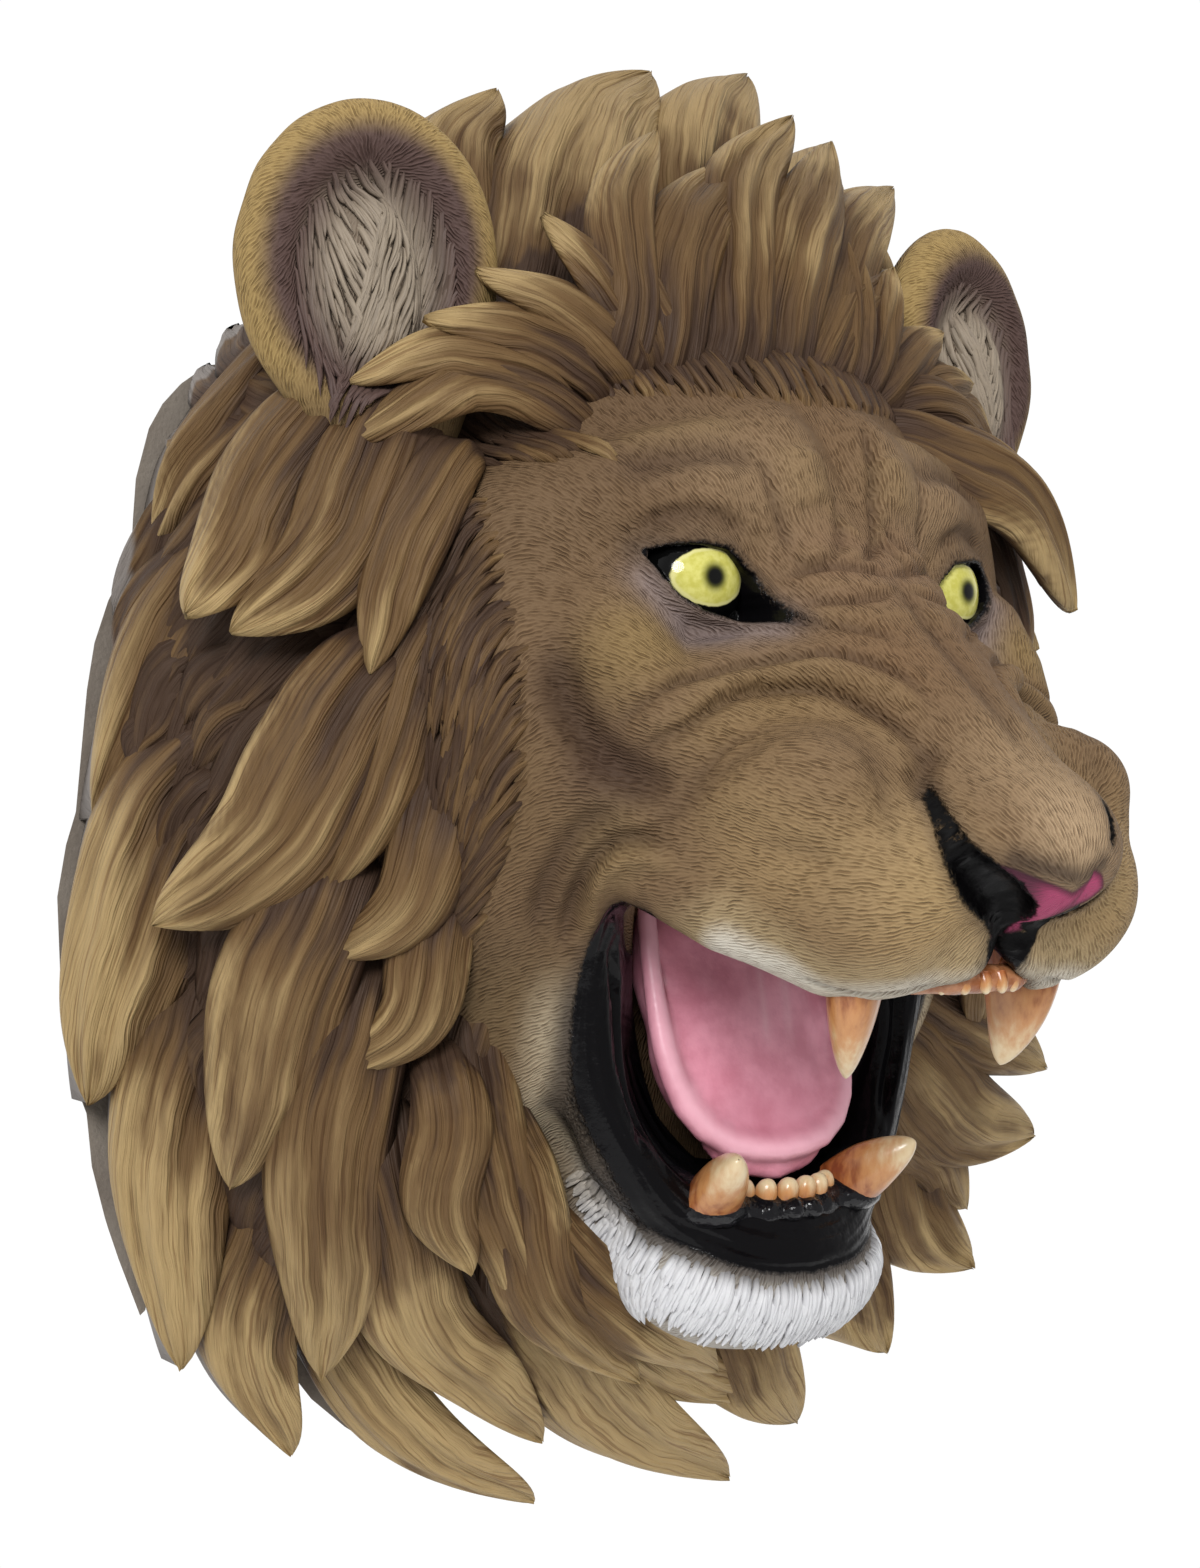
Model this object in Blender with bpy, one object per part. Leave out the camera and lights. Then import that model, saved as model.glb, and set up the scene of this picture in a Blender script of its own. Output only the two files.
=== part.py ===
"""Lion head wall mask: a roaring lion's head in painted cast resin, with a flat back.

The whole mask is one casting. Places are written in millimetres as (x, out, z), where x is
sideways, out is the distance out of the wall and z is up. The origin is on the wall plane,
in the middle of the mask, and the face looks along -Y.
"""
import math

import bmesh
import bpy
from mathutils import Matrix, Vector

MM = 0.001

# Overall build of the solid.
BODY_VOXEL = 2.6
FINE_VOXEL = 2.2
SMOOTH_FACTOR = 0.5
SMOOTH_ROUNDS = 2
TRIANGLES_KEPT = 0.031

# The mane's locks bulge away from a point behind the wall.
MANE_CORE_OUT = -80
LOCK_RINGS = 9
LOCK_SIDES = 5
BACK_OVERLAP = 4

# Hanging slot in the back: a round hole for a screw head, with a narrower slot above it.
HANG_HEIGHT = 118
HEAD_HOLE_RADIUS = 6.5
SLOT_RADIUS = 3.2
SLOT_RISE = 14
SLOT_DEPTH = 9
LIP_DEPTH = 3

RESIN_COLOUR = (0.32, 0.22, 0.12, 1.0)
RESIN_ROUGHNESS = 0.62

# Rounded masses on the middle line: centre, then half sizes along x, out and z.
MIDDLE_MASSES = [
    ((0, 0, 0), (133, 77, 168)),
    ((0, 20, 108), (76, 68, 70)),
    ((0, 60, 92), (79, 48, 34)),
    ((0, 52, 40), (92, 78, 82)),
    ((0, 85, 62), (69, 51, 51)),
    ((0, 197, -15), (27, 20, 17.5)),
    ((0, 101, -124), (39, 25, 23)),
]

# Rounded masses that come in left and right pairs.
PAIRED_MASSES = [
    ((40, 121, 49.5), (18.5, 19, 17.5)),
    ((62, 85, 27), (34, 42, 47)),
    ((72, 77, 1), (28, 40, 47)),
    ((58, 75, -33), (28, 32, 53)),
    ((15, 124, 74), (14, 15, 21)),
    ((41, 165, -2), (19, 25, 18)),
    ((84, 35, -4), (46, 44, 123)),
    ((62, 40, 114), (46, 48, 54)),
]

# Limbs: chains of balls joined by cones, each ball as (x, out, z, radius).
BRIDGE = [(0, 128, 46, 24), (0, 150, 26, 22.5), (0, 177, 4, 20), (0, 192, -11, 18)]
BRIDGE_SIDE = [(12, 137, 42, 17), (11, 175, 0, 17), (11, 192, -11, 15.5)]
BROW = [(16, 124, 64, 16), (36, 124, 70, 15), (56, 114, 69, 14), (72, 94, 60, 16)]
CHEEKBONE = [(36, 124, 24, 14), (58, 114, 24, 18), (78, 88, 26, 22)]
CHEEK_FOLD = [(62, 128, 22, 13), (50, 132, 22, 14), (36, 140, 24, 13), (28, 153, 22, 10.5)]
MUZZLE = [(50, 108, 4, 31), (38, 136, -4, 28), (31, 162, -16, 26), (29, 175, -25, 25)]
UPPER_LIP = [(10, 182, -38, 12), (34, 166, -37, 12), (48, 148, -29, 12), (57, 126, -17, 12),
             (62, 104, -14, 15)]
LOWER_LIP = [(58, 118, -14, 8), (58, 106, -26, 9.5), (54, 99, -44, 10), (50, 97, -66, 10.5),
             (42, 99, -90, 10.5), (26, 106, -108, 10.5), (0, 111, -114, 11)]
JAW_INSIDE = [(64, 78, -16, 20), (42, 80, -58, 16), (32, 86, -92, 15), (18, 90, -112, 17),
              (0, 92, -118, 19)]
JAW_SIDE = [(74, 62, -16, 23), (70, 60, -60, 21), (56, 60, -98, 19), (32, 70, -120, 16)]

# The open mouth, and what stands in it.
MOUTH_MASSES = [((0, 112, -65), (44, 31, 43)), ((0, 144, -45), (30, 41, 19))]
TONGUE_MASSES = [((0, 76, -28), (28, 18, 18)), ((0, 84, -50), (30, 19, 20)),
                 ((0, 91, -72), (30, 18, 20)), ((0, 96, -88), (25, 17, 14))]
UPPER_CANINE = [(26, 170, -44, 7.5), (26.5, 168, -58, 5.5), (27, 165, -69, 1.8)]
LOWER_CANINE = [(23, 112, -110, 7), (25, 121, -103, 5.5), (28, 131, -94, 1.8)]
UPPER_INCISORS = [(-13, 186, -47, 4), (0, 189, -47, 4), (13, 186, -47, 4)]
LOWER_INCISORS = [(-16, 113, -106, 4.5), (0, 117, -106, 4.5), (16, 113, -106, 4.5)]

# Ears: an oval rim about a shallow bowl, turned outwards.
EAR_CENTRES = {-1: (101.5, 76, 127.5), 1: (103.5, 76, 120)}
EAR_HALF_WIDTH = 26
EAR_HALF_HEIGHT = 34
EAR_RIM_RADIUS = 8
EAR_TURN = 22
EAR_STEPS = 14

# Locks of the mane: root, bend, tip and half width. The rim locks reach back to the wall.
RIM_LOCKS_BOTH = [
    ((-98, 44, 104), (-118, 30, 82), (-126, 15, 61), 17),
    ((-111, 44, 60), (-130, 26, 28), (-142, 12, -9), 17),
    ((-117, 44, 8), (-137, 24, -36), (-141, 12, -80), 19),
    ((-66, 52, 128), (-52, 40, 162), (-30, 30, 189), 15),
    ((-78, 50, 112), (-80, 38, 138), (-76, 26, 158), 13),
]
RIM_LOCKS_NEAR = [
    ((-120, 38, -48), (-128, 22, -100), (-118, 13, -151), 16),
    ((-104, 36, -98), (-102, 20, -140), (-84, 12, -178), 15),
    ((-84, 30, -132), (-54, 20, -174), (-4, 12, -203), 13),
    ((-62, 62, -116), (-6, 40, -166), (66, 15, -206), 17),
    ((-50, 72, 122), (-20, 54, 164), (22, 32, 201), 21),
]
RIM_LOCKS_FAR = [
    ((80, 56, -84), (110, 48, -124), (139, 44, -148), 17),
    ((66, 54, -118), (90, 42, -149), (112, 34, -172), 15),
    ((32, 48, -144), (60, 38, -170), (82, 27, -190), 15),
    ((6, 66, 136), (30, 50, 178), (58, 32, 206), 18),
    ((42, 62, 128), (66, 46, 162), (88, 32, 190), 17),
    ((70, 56, 112), (94, 44, 146), (106, 30, 170), 17),
]
TOP_LOCKS_BOTH = [
    ((-109, 68, 89), (-126, 60, 62), (-146, 64, 40), 15),
    ((-98, 82, 86), (-114, 80, 58), (-136, 68, 36), 14),
    ((-110, 88, 22), (-128, 74, -11), (-147, 50, -34), 16),
    ((-116, 78, -30), (-124, 62, -67), (-123, 46, -100), 16),
    ((-90, 94, 76), (-106, 92, 50), (-112, 92, 26), 9),
    ((-96, 94, 34), (-110, 88, -2), (-118, 82, -26), 11),
    ((-90, 96, 0), (-102, 92, -28), (-115, 80, -42), 10),
    ((-90, 90, -30), (-97, 88, -54), (-108, 76, -70), 10),
    ((-64, 98, 96), (-88, 88, 104), (-113, 80, 92), 12),
    ((-46, 102, 103), (-68, 97, 112), (-86, 90, 117), 11),
    ((-36, 104, 108), (-46, 98, 126), (-55, 92, 142), 11),
]
TOP_LOCKS_NEAR = [
    ((-104, 76, -62), (-104, 58, -111), (-90, 36, -153), 15),
    ((-88, 88, -78), (-84, 84, -102), (-74, 80, -122), 10),
    ((-76, 84, -66), (-70, 84, -104), (-52, 76, -140), 11),
    ((-68, 84, -92), (-52, 82, -128), (-14, 72, -158), 11),
    ((-54, 84, -112), (-24, 84, -140), (18, 66, -160), 10),
    ((-70, 84, -44), (-76, 84, -72), (-72, 82, -98), 9),
    ((-91, 70, -103), (-66, 52, -144), (-22, 40, -178), 14),
    ((-48, 72, -126), (0, 56, -151), (56, 32, -179), 13),
    ((-46, 104, 114), (-36, 94, 146), (-15, 80, 171), 9),
    ((-30, 106, 112), (-16, 94, 145), (18, 74, 168), 11),
    ((-14, 108, 108), (4, 92, 150), (40, 72, 184), 12),
]
TOP_LOCKS_FAR = [
    ((64, 104, 96), (92, 106, 78), (118, 104, 49), 11),
    ((60, 106, 104), (84, 98, 98), (104, 92, 78), 10),
    ((4, 106, 104), (20, 96, 144), (54, 72, 179), 12),
    ((14, 104, 108), (46, 88, 146), (84, 66, 171), 13),
    ((18, 106, 108), (36, 98, 130), (62, 86, 142), 9),
    ((74, 82, -56), (112, 74, -74), (152, 62, -86), 12),
    ((68, 78, -74), (108, 68, -95), (153, 56, -107), 16),
    ((70, 70, -88), (106, 58, -110), (134, 46, -129), 12),
]


def place(x, out, z):
    """Return the world point of a place given in millimetres."""
    return Vector((x * MM, -out * MM, z * MM))


def mirrored(point):
    """Return a limb's ball or a place on the other side of the middle line."""
    return (-point[0],) + tuple(point[1:])


def add_ball(mesh, centre, half_sizes, turn=0.0, detail=3):
    """Add an ellipsoid, turned about the vertical by turn degrees."""
    x_half, out_half, z_half = half_sizes
    size = Matrix.Diagonal((x_half * MM, out_half * MM, z_half * MM, 1.0))
    spin = Matrix.Rotation(math.radians(turn), 4, "Z")
    where = Matrix.Translation(place(*centre)) @ spin @ size
    bmesh.ops.create_icosphere(mesh, subdivisions=detail, radius=1.0, matrix=where)


def add_limb(mesh, balls):
    """Add a chain of balls joined by cones."""
    for x, out, z, radius in balls:
        add_ball(mesh, (x, out, z), (radius, radius, radius), detail=2)
    for first, second in zip(balls, balls[1:]):
        start = place(*first[:3])
        along = place(*second[:3]) - start
        frame = along.to_track_quat("Z", "Y").to_matrix().to_4x4()
        middle = Matrix.Translation(start + along / 2) @ frame
        bmesh.ops.create_cone(mesh, cap_ends=True, segments=16, radius1=first[3] * MM,
                              radius2=second[3] * MM, depth=along.length, matrix=middle)


def leaf_width(step):
    """Return a lock's width at a step from root (0) to tip (1), as a share of its widest."""
    swell = math.sin(math.pi * min(1.0, 0.28 + 0.5 * step / 0.72))
    point = max(0.0, 1 - max(0.0, step - 0.45) / 0.55) ** 0.62
    return max(0.05, swell * point)


def lock_section(centre, along, half_width, to_wall):
    """Return one cross section of a lock: a low arch over a flat or a wall-deep base."""
    core = place(0, MANE_CORE_OUT, 0)
    outward = centre - core
    outward -= along * outward.dot(along)
    outward.normalize()
    side = along.cross(outward)
    points = []
    for index in range(LOCK_SIDES + 1):
        angle = math.pi * index / LOCK_SIDES
        rise = 0.55 * half_width * math.sin(angle)
        points.append(centre + side * half_width * math.cos(angle) + outward * rise)
    if to_wall:
        left = Vector((points[-1].x, BACK_OVERLAP * MM, points[-1].z))
        right = Vector((points[0].x, BACK_OVERLAP * MM, points[0].z))
    else:
        left = points[-1] - outward * half_width * 0.5
        right = points[0] - outward * half_width * 0.5
    return points + [left, right]


def add_lock(mesh, root, bend, tip, half_width, to_wall):
    """Add a leaf-shaped lock along the curve from root over bend to tip."""
    start = place(*root)
    middle = place(*bend)
    end = place(*tip)
    control = middle * 2 - (start + end) / 2
    rings = []
    for index in range(LOCK_RINGS):
        step = index / (LOCK_RINGS - 1)
        centre = start * (1 - step) ** 2 + control * 2 * step * (1 - step) + end * step ** 2
        along = ((control - start) * (1 - step) + (end - control) * step).normalized()
        width = half_width * MM * leaf_width(step)
        section = lock_section(centre, along, width, to_wall)
        rings.append([mesh.verts.new(point) for point in section])
    for near, far in zip(rings, rings[1:]):
        for index in range(len(near)):
            after = (index + 1) % len(near)
            mesh.faces.new((near[index], near[after], far[after], far[index]))
    mesh.faces.new(reversed(rings[0]))
    mesh.faces.new(rings[-1])


def add_ear(mesh, side):
    """Add one ear: an oval rim, bent round a thin bowl."""
    x, out, z = EAR_CENTRES[side]
    turn = math.radians(EAR_TURN)
    rim = []
    for index in range(EAR_STEPS + 1):
        angle = 2 * math.pi * index / EAR_STEPS
        across = EAR_HALF_WIDTH * math.cos(angle)
        height = EAR_HALF_HEIGHT * math.sin(angle)
        rim.append((side * (x + across * math.cos(turn)), out - across * math.sin(turn),
                    z + height, EAR_RIM_RADIUS))
    add_limb(mesh, rim)
    bowl = (EAR_HALF_WIDTH, 7, EAR_HALF_HEIGHT)
    add_ball(mesh, (side * x, out - 5, z), bowl, turn=side * EAR_TURN)


def mesh_object(name, mesh):
    """Make an object from a mesh under construction, with its faces turned outwards."""
    bmesh.ops.recalc_face_normals(mesh, faces=mesh.faces)
    data = bpy.data.meshes.new(name)
    mesh.to_mesh(data)
    mesh.free()
    thing = bpy.data.objects.new(name, data)
    bpy.context.scene.collection.objects.link(thing)
    return thing


def fuse(thing, voxel):
    """Melt an object's overlapping shapes into one closed skin."""
    step = thing.modifiers.new("fuse", "REMESH")
    step.mode = "VOXEL"
    step.voxel_size = voxel * MM


def hide_guide(thing):
    """Mark an object as a cutter or guide."""
    thing.hide_render = True
    thing.display_type = "WIRE"


def combine(thing, other, operation):
    """Cut or join another object into this one."""
    step = thing.modifiers.new(operation.lower(), "BOOLEAN")
    step.operation = operation
    step.solver = "EXACT"
    step.object = other


def settle(thing):
    """Turn an object's modifiers into its own mesh, less any loose crumbs."""
    view = bpy.context.evaluated_depsgraph_get()
    data = bpy.data.meshes.new_from_object(thing.evaluated_get(view))
    thing.modifiers.clear()
    thing.data = data
    mesh = bmesh.new()
    mesh.from_mesh(data)
    left = set(mesh.verts)
    bodies = []
    while left:
        body = {left.pop()}
        edge = set(body)
        while edge:
            edge = {link.other_vert(vert) for vert in edge for link in vert.link_edges} - body
            body |= edge
        left -= body
        bodies.append(body)
    bodies.sort(key=len)
    crumbs = [vert for body in bodies[:-1] for vert in body]
    bmesh.ops.delete(mesh, geom=crumbs, context="VERTS")
    mesh.to_mesh(data)
    mesh.free()


def add_head(mesh):
    """Add the skull, muzzle, jaw and ears."""
    for centre, half_sizes in MIDDLE_MASSES:
        add_ball(mesh, centre, half_sizes)
    for centre, half_sizes in PAIRED_MASSES:
        add_ball(mesh, centre, half_sizes)
        add_ball(mesh, mirrored(centre), half_sizes)
    add_limb(mesh, BRIDGE)
    for balls in (BRIDGE_SIDE, BROW, CHEEKBONE, CHEEK_FOLD, MUZZLE, UPPER_LIP, LOWER_LIP,
                  JAW_INSIDE, JAW_SIDE):
        add_limb(mesh, balls)
        add_limb(mesh, [mirrored(ball) for ball in balls])
    for side in (-1, 1):
        add_ear(mesh, side)


def add_mane(mesh):
    """Add the mane's locks, the rim ones reaching back to the wall."""
    for rows, to_wall in ((RIM_LOCKS_BOTH, True), (TOP_LOCKS_BOTH, False)):
        for root, bend, tip, half_width in rows:
            add_lock(mesh, root, bend, tip, half_width, to_wall)
            add_lock(mesh, mirrored(root), mirrored(bend), mirrored(tip), half_width, to_wall)
    for rows, to_wall in ((RIM_LOCKS_NEAR, True), (RIM_LOCKS_FAR, True),
                          (TOP_LOCKS_NEAR, False), (TOP_LOCKS_FAR, False)):
        for root, bend, tip, half_width in rows:
            add_lock(mesh, root, bend, tip, half_width, to_wall)


def add_tongue_and_teeth(mesh):
    """Add what stands in the mouth."""
    for centre, half_sizes in TONGUE_MASSES:
        add_ball(mesh, centre, half_sizes)
    for balls in (UPPER_INCISORS, LOWER_INCISORS):
        add_limb(mesh, balls)
    for balls in (UPPER_CANINE, LOWER_CANINE):
        add_limb(mesh, balls)
        add_limb(mesh, [mirrored(ball) for ball in balls])


def mouth_space():
    """Make the cutter for the hollow of the open mouth, round the tongue and teeth."""
    kept = bmesh.new()
    add_tongue_and_teeth(kept)
    guide = mesh_object("tongue_and_teeth", kept)
    fuse(guide, FINE_VOXEL)
    hide_guide(guide)
    mesh = bmesh.new()
    for centre, half_sizes in MOUTH_MASSES:
        add_ball(mesh, centre, half_sizes)
    thing = mesh_object("mouth_space", mesh)
    fuse(thing, BODY_VOXEL)
    combine(thing, guide, "DIFFERENCE")
    hide_guide(thing)
    return thing


def wall_space():
    """Make the cutter for everything behind the flat back."""
    mesh = bmesh.new()
    half = 400 * MM
    where = Matrix.Translation((0, half, 0)) @ Matrix.Diagonal((2 * half, 2 * half, 2 * half, 1))
    bmesh.ops.create_cube(mesh, size=1.0, matrix=where)
    thing = mesh_object("wall_space", mesh)
    hide_guide(thing)
    return thing


def slot_outline(radius, rise, height):
    """Return the outline of an upright slot with round ends, from the hang height up."""
    points = []
    for index in range(17):
        angle = math.pi * (1 + index / 16)
        points.append((radius * math.cos(angle), height + radius * math.sin(angle)))
    for index in range(17):
        angle = math.pi * index / 16
        points.append((radius * math.cos(angle), height + rise + radius * math.sin(angle)))
    return points


def add_prism(mesh, outline, near, deep):
    """Add a prism of an outline in x and z, between two depths into the back."""
    loops = []
    for out in (near, deep):
        loops.append([mesh.verts.new(place(x, out, z)) for x, z in outline])
    mesh.faces.new(loops[0])
    mesh.faces.new(reversed(loops[1]))
    for index in range(len(outline)):
        after = (index + 1) % len(outline)
        mesh.faces.new((loops[0][index], loops[1][index], loops[1][after], loops[0][after]))


def slot_cutter(name, radius, rise, near, deep):
    """Make one step of the hanging slot's cutter."""
    mesh = bmesh.new()
    add_prism(mesh, slot_outline(radius, rise, HANG_HEIGHT), near, deep)
    thing = mesh_object(name, mesh)
    hide_guide(thing)
    return thing


def resin():
    """Make the painted resin's base material."""
    material = bpy.data.materials.new("painted_resin")
    material.use_nodes = True
    shader = material.node_tree.nodes["Principled BSDF"]
    shader.inputs["Base Color"].default_value = RESIN_COLOUR
    shader.inputs["Roughness"].default_value = RESIN_ROUGHNESS
    shader.inputs["Metallic"].default_value = 0.0
    return material


def lion_head_mask():
    """Build the casting: head and mane, mouth cut, tongue and teeth, flat back, hanging slot."""
    mesh = bmesh.new()
    add_head(mesh)
    add_mane(mesh)
    add_tongue_and_teeth(mesh)
    mask = mesh_object("lion_head_mask", mesh)
    fuse(mask, BODY_VOXEL)
    combine(mask, mouth_space(), "DIFFERENCE")
    fuse(mask, FINE_VOXEL)
    soften = mask.modifiers.new("soften", "SMOOTH")
    soften.factor = SMOOTH_FACTOR
    soften.iterations = SMOOTH_ROUNDS
    thin = mask.modifiers.new("thin", "DECIMATE")
    thin.ratio = TRIANGLES_KEPT
    combine(mask, wall_space(), "DIFFERENCE")
    settle(mask)
    entry = slot_cutter("slot_entry", HEAD_HOLE_RADIUS, 0, -1, SLOT_DEPTH)
    combine(mask, entry, "DIFFERENCE")
    narrow = slot_cutter("slot_narrow", SLOT_RADIUS, SLOT_RISE, -1, SLOT_DEPTH - 1)
    combine(mask, narrow, "DIFFERENCE")
    wide = slot_cutter("slot_wide", HEAD_HOLE_RADIUS, SLOT_RISE, LIP_DEPTH, SLOT_DEPTH - 0.5)
    combine(mask, wide, "DIFFERENCE")
    mask.data.materials.append(resin())
    return mask


def main():
    for thing in list(bpy.data.objects):
        bpy.data.objects.remove(thing, do_unlink=True)
    lion_head_mask()


main()
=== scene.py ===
"""Lion head wall mask in painted cast resin.

Places are written in millimetres as (x, out, z): x is sideways, out is the distance out of the
wall and z is up. The face looks along -Y, and the wall is the plane y = 0.
"""
import math

import bmesh
import bpy
import numpy as np
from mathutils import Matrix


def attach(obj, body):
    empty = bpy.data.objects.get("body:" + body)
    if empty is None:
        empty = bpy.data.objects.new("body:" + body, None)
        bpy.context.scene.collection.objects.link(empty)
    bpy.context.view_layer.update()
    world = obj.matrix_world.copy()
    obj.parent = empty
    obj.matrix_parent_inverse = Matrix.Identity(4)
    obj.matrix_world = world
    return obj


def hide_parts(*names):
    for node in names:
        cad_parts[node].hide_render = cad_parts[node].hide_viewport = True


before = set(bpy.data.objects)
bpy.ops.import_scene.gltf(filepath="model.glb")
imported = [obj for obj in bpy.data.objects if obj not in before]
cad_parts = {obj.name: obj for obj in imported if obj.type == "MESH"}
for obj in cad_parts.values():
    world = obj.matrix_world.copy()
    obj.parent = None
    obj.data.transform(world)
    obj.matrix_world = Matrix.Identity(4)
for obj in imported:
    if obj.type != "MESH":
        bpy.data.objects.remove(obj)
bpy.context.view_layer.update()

import openvdb
from mathutils import Vector

MM = 0.001
BODY = "root"
NODE = "lion_head_mask"

# Shapes as distance fields


def ball(p, centre, half_sizes):
    """Distance to an ellipsoid, close to exact near its surface."""
    half = np.array(half_sizes, dtype=np.float32)
    q = (p - np.array(centre, dtype=np.float32)) / half
    near = np.linalg.norm(q, axis=-1)
    slope = np.linalg.norm(q / half, axis=-1)
    return near * (near - 1) / np.maximum(slope, 1e-6)


def limb(p, balls):
    """Distance to a chain of balls (x, out, z, radius) joined by cones."""
    best = None
    for first, second in zip(balls, balls[1:]):
        start = np.array(first[:3], dtype=np.float32)
        along = np.array(second[:3], dtype=np.float32) - start
        step = np.clip((p - start) @ along / (along @ along), 0, 1)
        reach = np.linalg.norm(p - start - step[..., None] * along, axis=-1)
        reach = reach - (first[3] + (second[3] - first[3]) * step)
        best = reach if best is None else np.minimum(best, reach)
    return best


def join(a, b, blend):
    """Melt two shapes together over a width."""
    h = np.clip(0.5 + 0.5 * (b - a) / blend, 0, 1)
    return b * (1 - h) + a * h - blend * h * (1 - h)


def carve(a, b, blend):
    """Cut shape b out of shape a."""
    return -join(-a, b, blend)


def outline_distance(x, z, corners):
    """Signed distance to a closed outline, negative inside."""
    best = np.full(x.shape, 1e9, dtype=np.float32)
    inside = np.zeros(x.shape, dtype=bool)
    for (ax, az), (bx, bz) in zip(corners, corners[1:] + corners[:1]):
        ex, ez = bx - ax, bz - az
        step = np.clip(((x - ax) * ex + (z - az) * ez) / (ex * ex + ez * ez), 0, 1)
        best = np.minimum(best, (x - ax - step * ex) ** 2 + (z - az - step * ez) ** 2)
        crosses = ((az > z) != (bz > z)) & (x < ex * (z - az) / (ez if ez else 1e-9) + ax)
        inside ^= crosses
    return np.where(inside, -1, 1) * np.sqrt(best)


def smooth(value, low, high):
    """Rise smoothly from 0 at low to 1 at high."""
    t = np.clip((value - low) / (high - low), 0, 1)
    return t * t * (3 - 2 * t)


def rounded_path(points, count):
    """Return places (and radii, if given) along a smooth curve through the given ones."""
    places = np.array(points, dtype=np.float64)
    ends = np.vstack([2 * places[0] - places[1], places, 2 * places[-1] - places[-2]])
    lengths = np.linalg.norm(np.diff(places[:, :3], axis=0), axis=1)
    knots = np.concatenate([[0], np.cumsum(lengths)]) / lengths.sum()
    out = []
    for t in np.linspace(0, 1, count):
        k = min(np.searchsorted(knots, t, "right") - 1, len(places) - 2)
        u = (t - knots[k]) / (knots[k + 1] - knots[k])
        a, b, c, d = ends[k], ends[k + 1], ends[k + 2], ends[k + 3]
        out.append(0.5 * (2 * b + (c - a) * u + (2 * a - 5 * b + 4 * c - d) * u ** 2
                          + (3 * b - a - 3 * c + d) * u ** 3))
    return np.array(out)


def curve(points, count=12):
    """A limb's balls along a smooth curve."""
    return [tuple(row) for row in rounded_path(points, count)]


# Head: (shape, blend width); x is folded to the positive side
SKULL = [
    (("ball", (0, 0, 0), (132, 76, 166)), 1),
    (("ball", (84, 34, -4), (44, 42, 120)), 20),
    (("ball", (0, 20, 106), (76, 64, 60)), 20),
    (("ball", (0, 60, 92), (78, 46, 30)), 20),
    (("ball", (0, 52, 40), (90, 76, 80)), 24),
    (("ball", (0, 84, 62), (66, 50, 48)), 20),
    (("ball", (62, 84, 26), (32, 40, 46)), 20),
    (("ball", (72, 76, 0), (26, 38, 46)), 20),
    (("ball", (58, 74, -34), (26, 30, 52)), 16),
    (("limb", [(16, 124, 64, 14), (36, 124, 70, 13), (56, 114, 69, 12), (72, 94, 60, 14)]), 14),
    (("ball", (15, 124, 74), (13, 14, 20)), 8),
    (("limb", [(36, 124, 24, 12), (58, 114, 24, 16), (78, 88, 26, 20)]), 14),
    (("ball", (40, 121, 49.5), (18.5, 17.2, 18)), 5),
    (("limb", [(0, 128, 46, 22), (0, 150, 26, 20.5), (0, 177, 4, 18.5), (0, 192, -11, 16.5)]), 12),
    (("limb", [(12, 137, 42, 15), (11, 175, 0, 15.5), (11, 192, -11, 14)]), 10),
    (("limb", [(50, 108, 4, 30), (38, 136, -4, 27), (31, 162, -16, 25), (29, 175, -25, 24)]), 14),
    (("ball", (41, 165, -2), (18, 24, 17)), 8),
    (("limb", [(65, 124, 40, 7.5), (64, 131, 29, 9), (59, 139, 18, 9.5), (50, 141, 20, 9),
               (36, 144, 26, 8.5), (28, 157, 24, 7.5)]), 13),
    (("ball", (0, 197, -15), (26, 19.5, 16.5)), 8),
    (("limb", [(10, 182, -38, 11), (34, 166, -37, 11), (48, 148, -29, 11), (57, 126, -17, 11),
               (62, 104, -14, 14)]), 8),
    (("limb", [(64, 78, -16, 20), (58, 80, -20, 18), (42, 80, -58, 15), (32, 86, -92, 14),
               (18, 90, -112, 16), (0, 92, -118, 18)]), 14),
    (("ball", (0, 101, -124), (38, 24, 22)), 12),
    (("limb", [(74, 62, -16, 22), (70, 60, -60, 20), (56, 60, -98, 18), (32, 70, -120, 15)]), 12),
    (("limb", curve([(58, 118, -14, 7), (58, 106, -26, 8.5), (54, 99, -44, 9), (50, 97, -66, 9.5),
                     (42, 99, -90, 9.5), (26, 106, -108, 9.5), (0, 111, -114, 10)], 14)), 7),
]
MOUTH_CUTS = [
    (("ball", (0, 112, -66), (45, 30, 43)), 5),
    (("ball", (0, 146, -46), (30, 42, 18)), 6),
]
NOSTRIL = ("limb", curve([(27, 192.5, -1, 0.8), (27.5, 199, -9, 1.8), (26.5, 203, -16, 3.3),
                          (20, 205, -23.5, 5.8), (11, 203, -28, 6.2), (5, 198, -33, 4.0)], 11))
FAR_NOSTRIL_LESS = 3.0
FAR_SLIT = ("limb", [(17, 207.5, 1, 0.7), (15, 210.5, -6, 1.2), (12, 214, -13, 0.9)])
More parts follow.
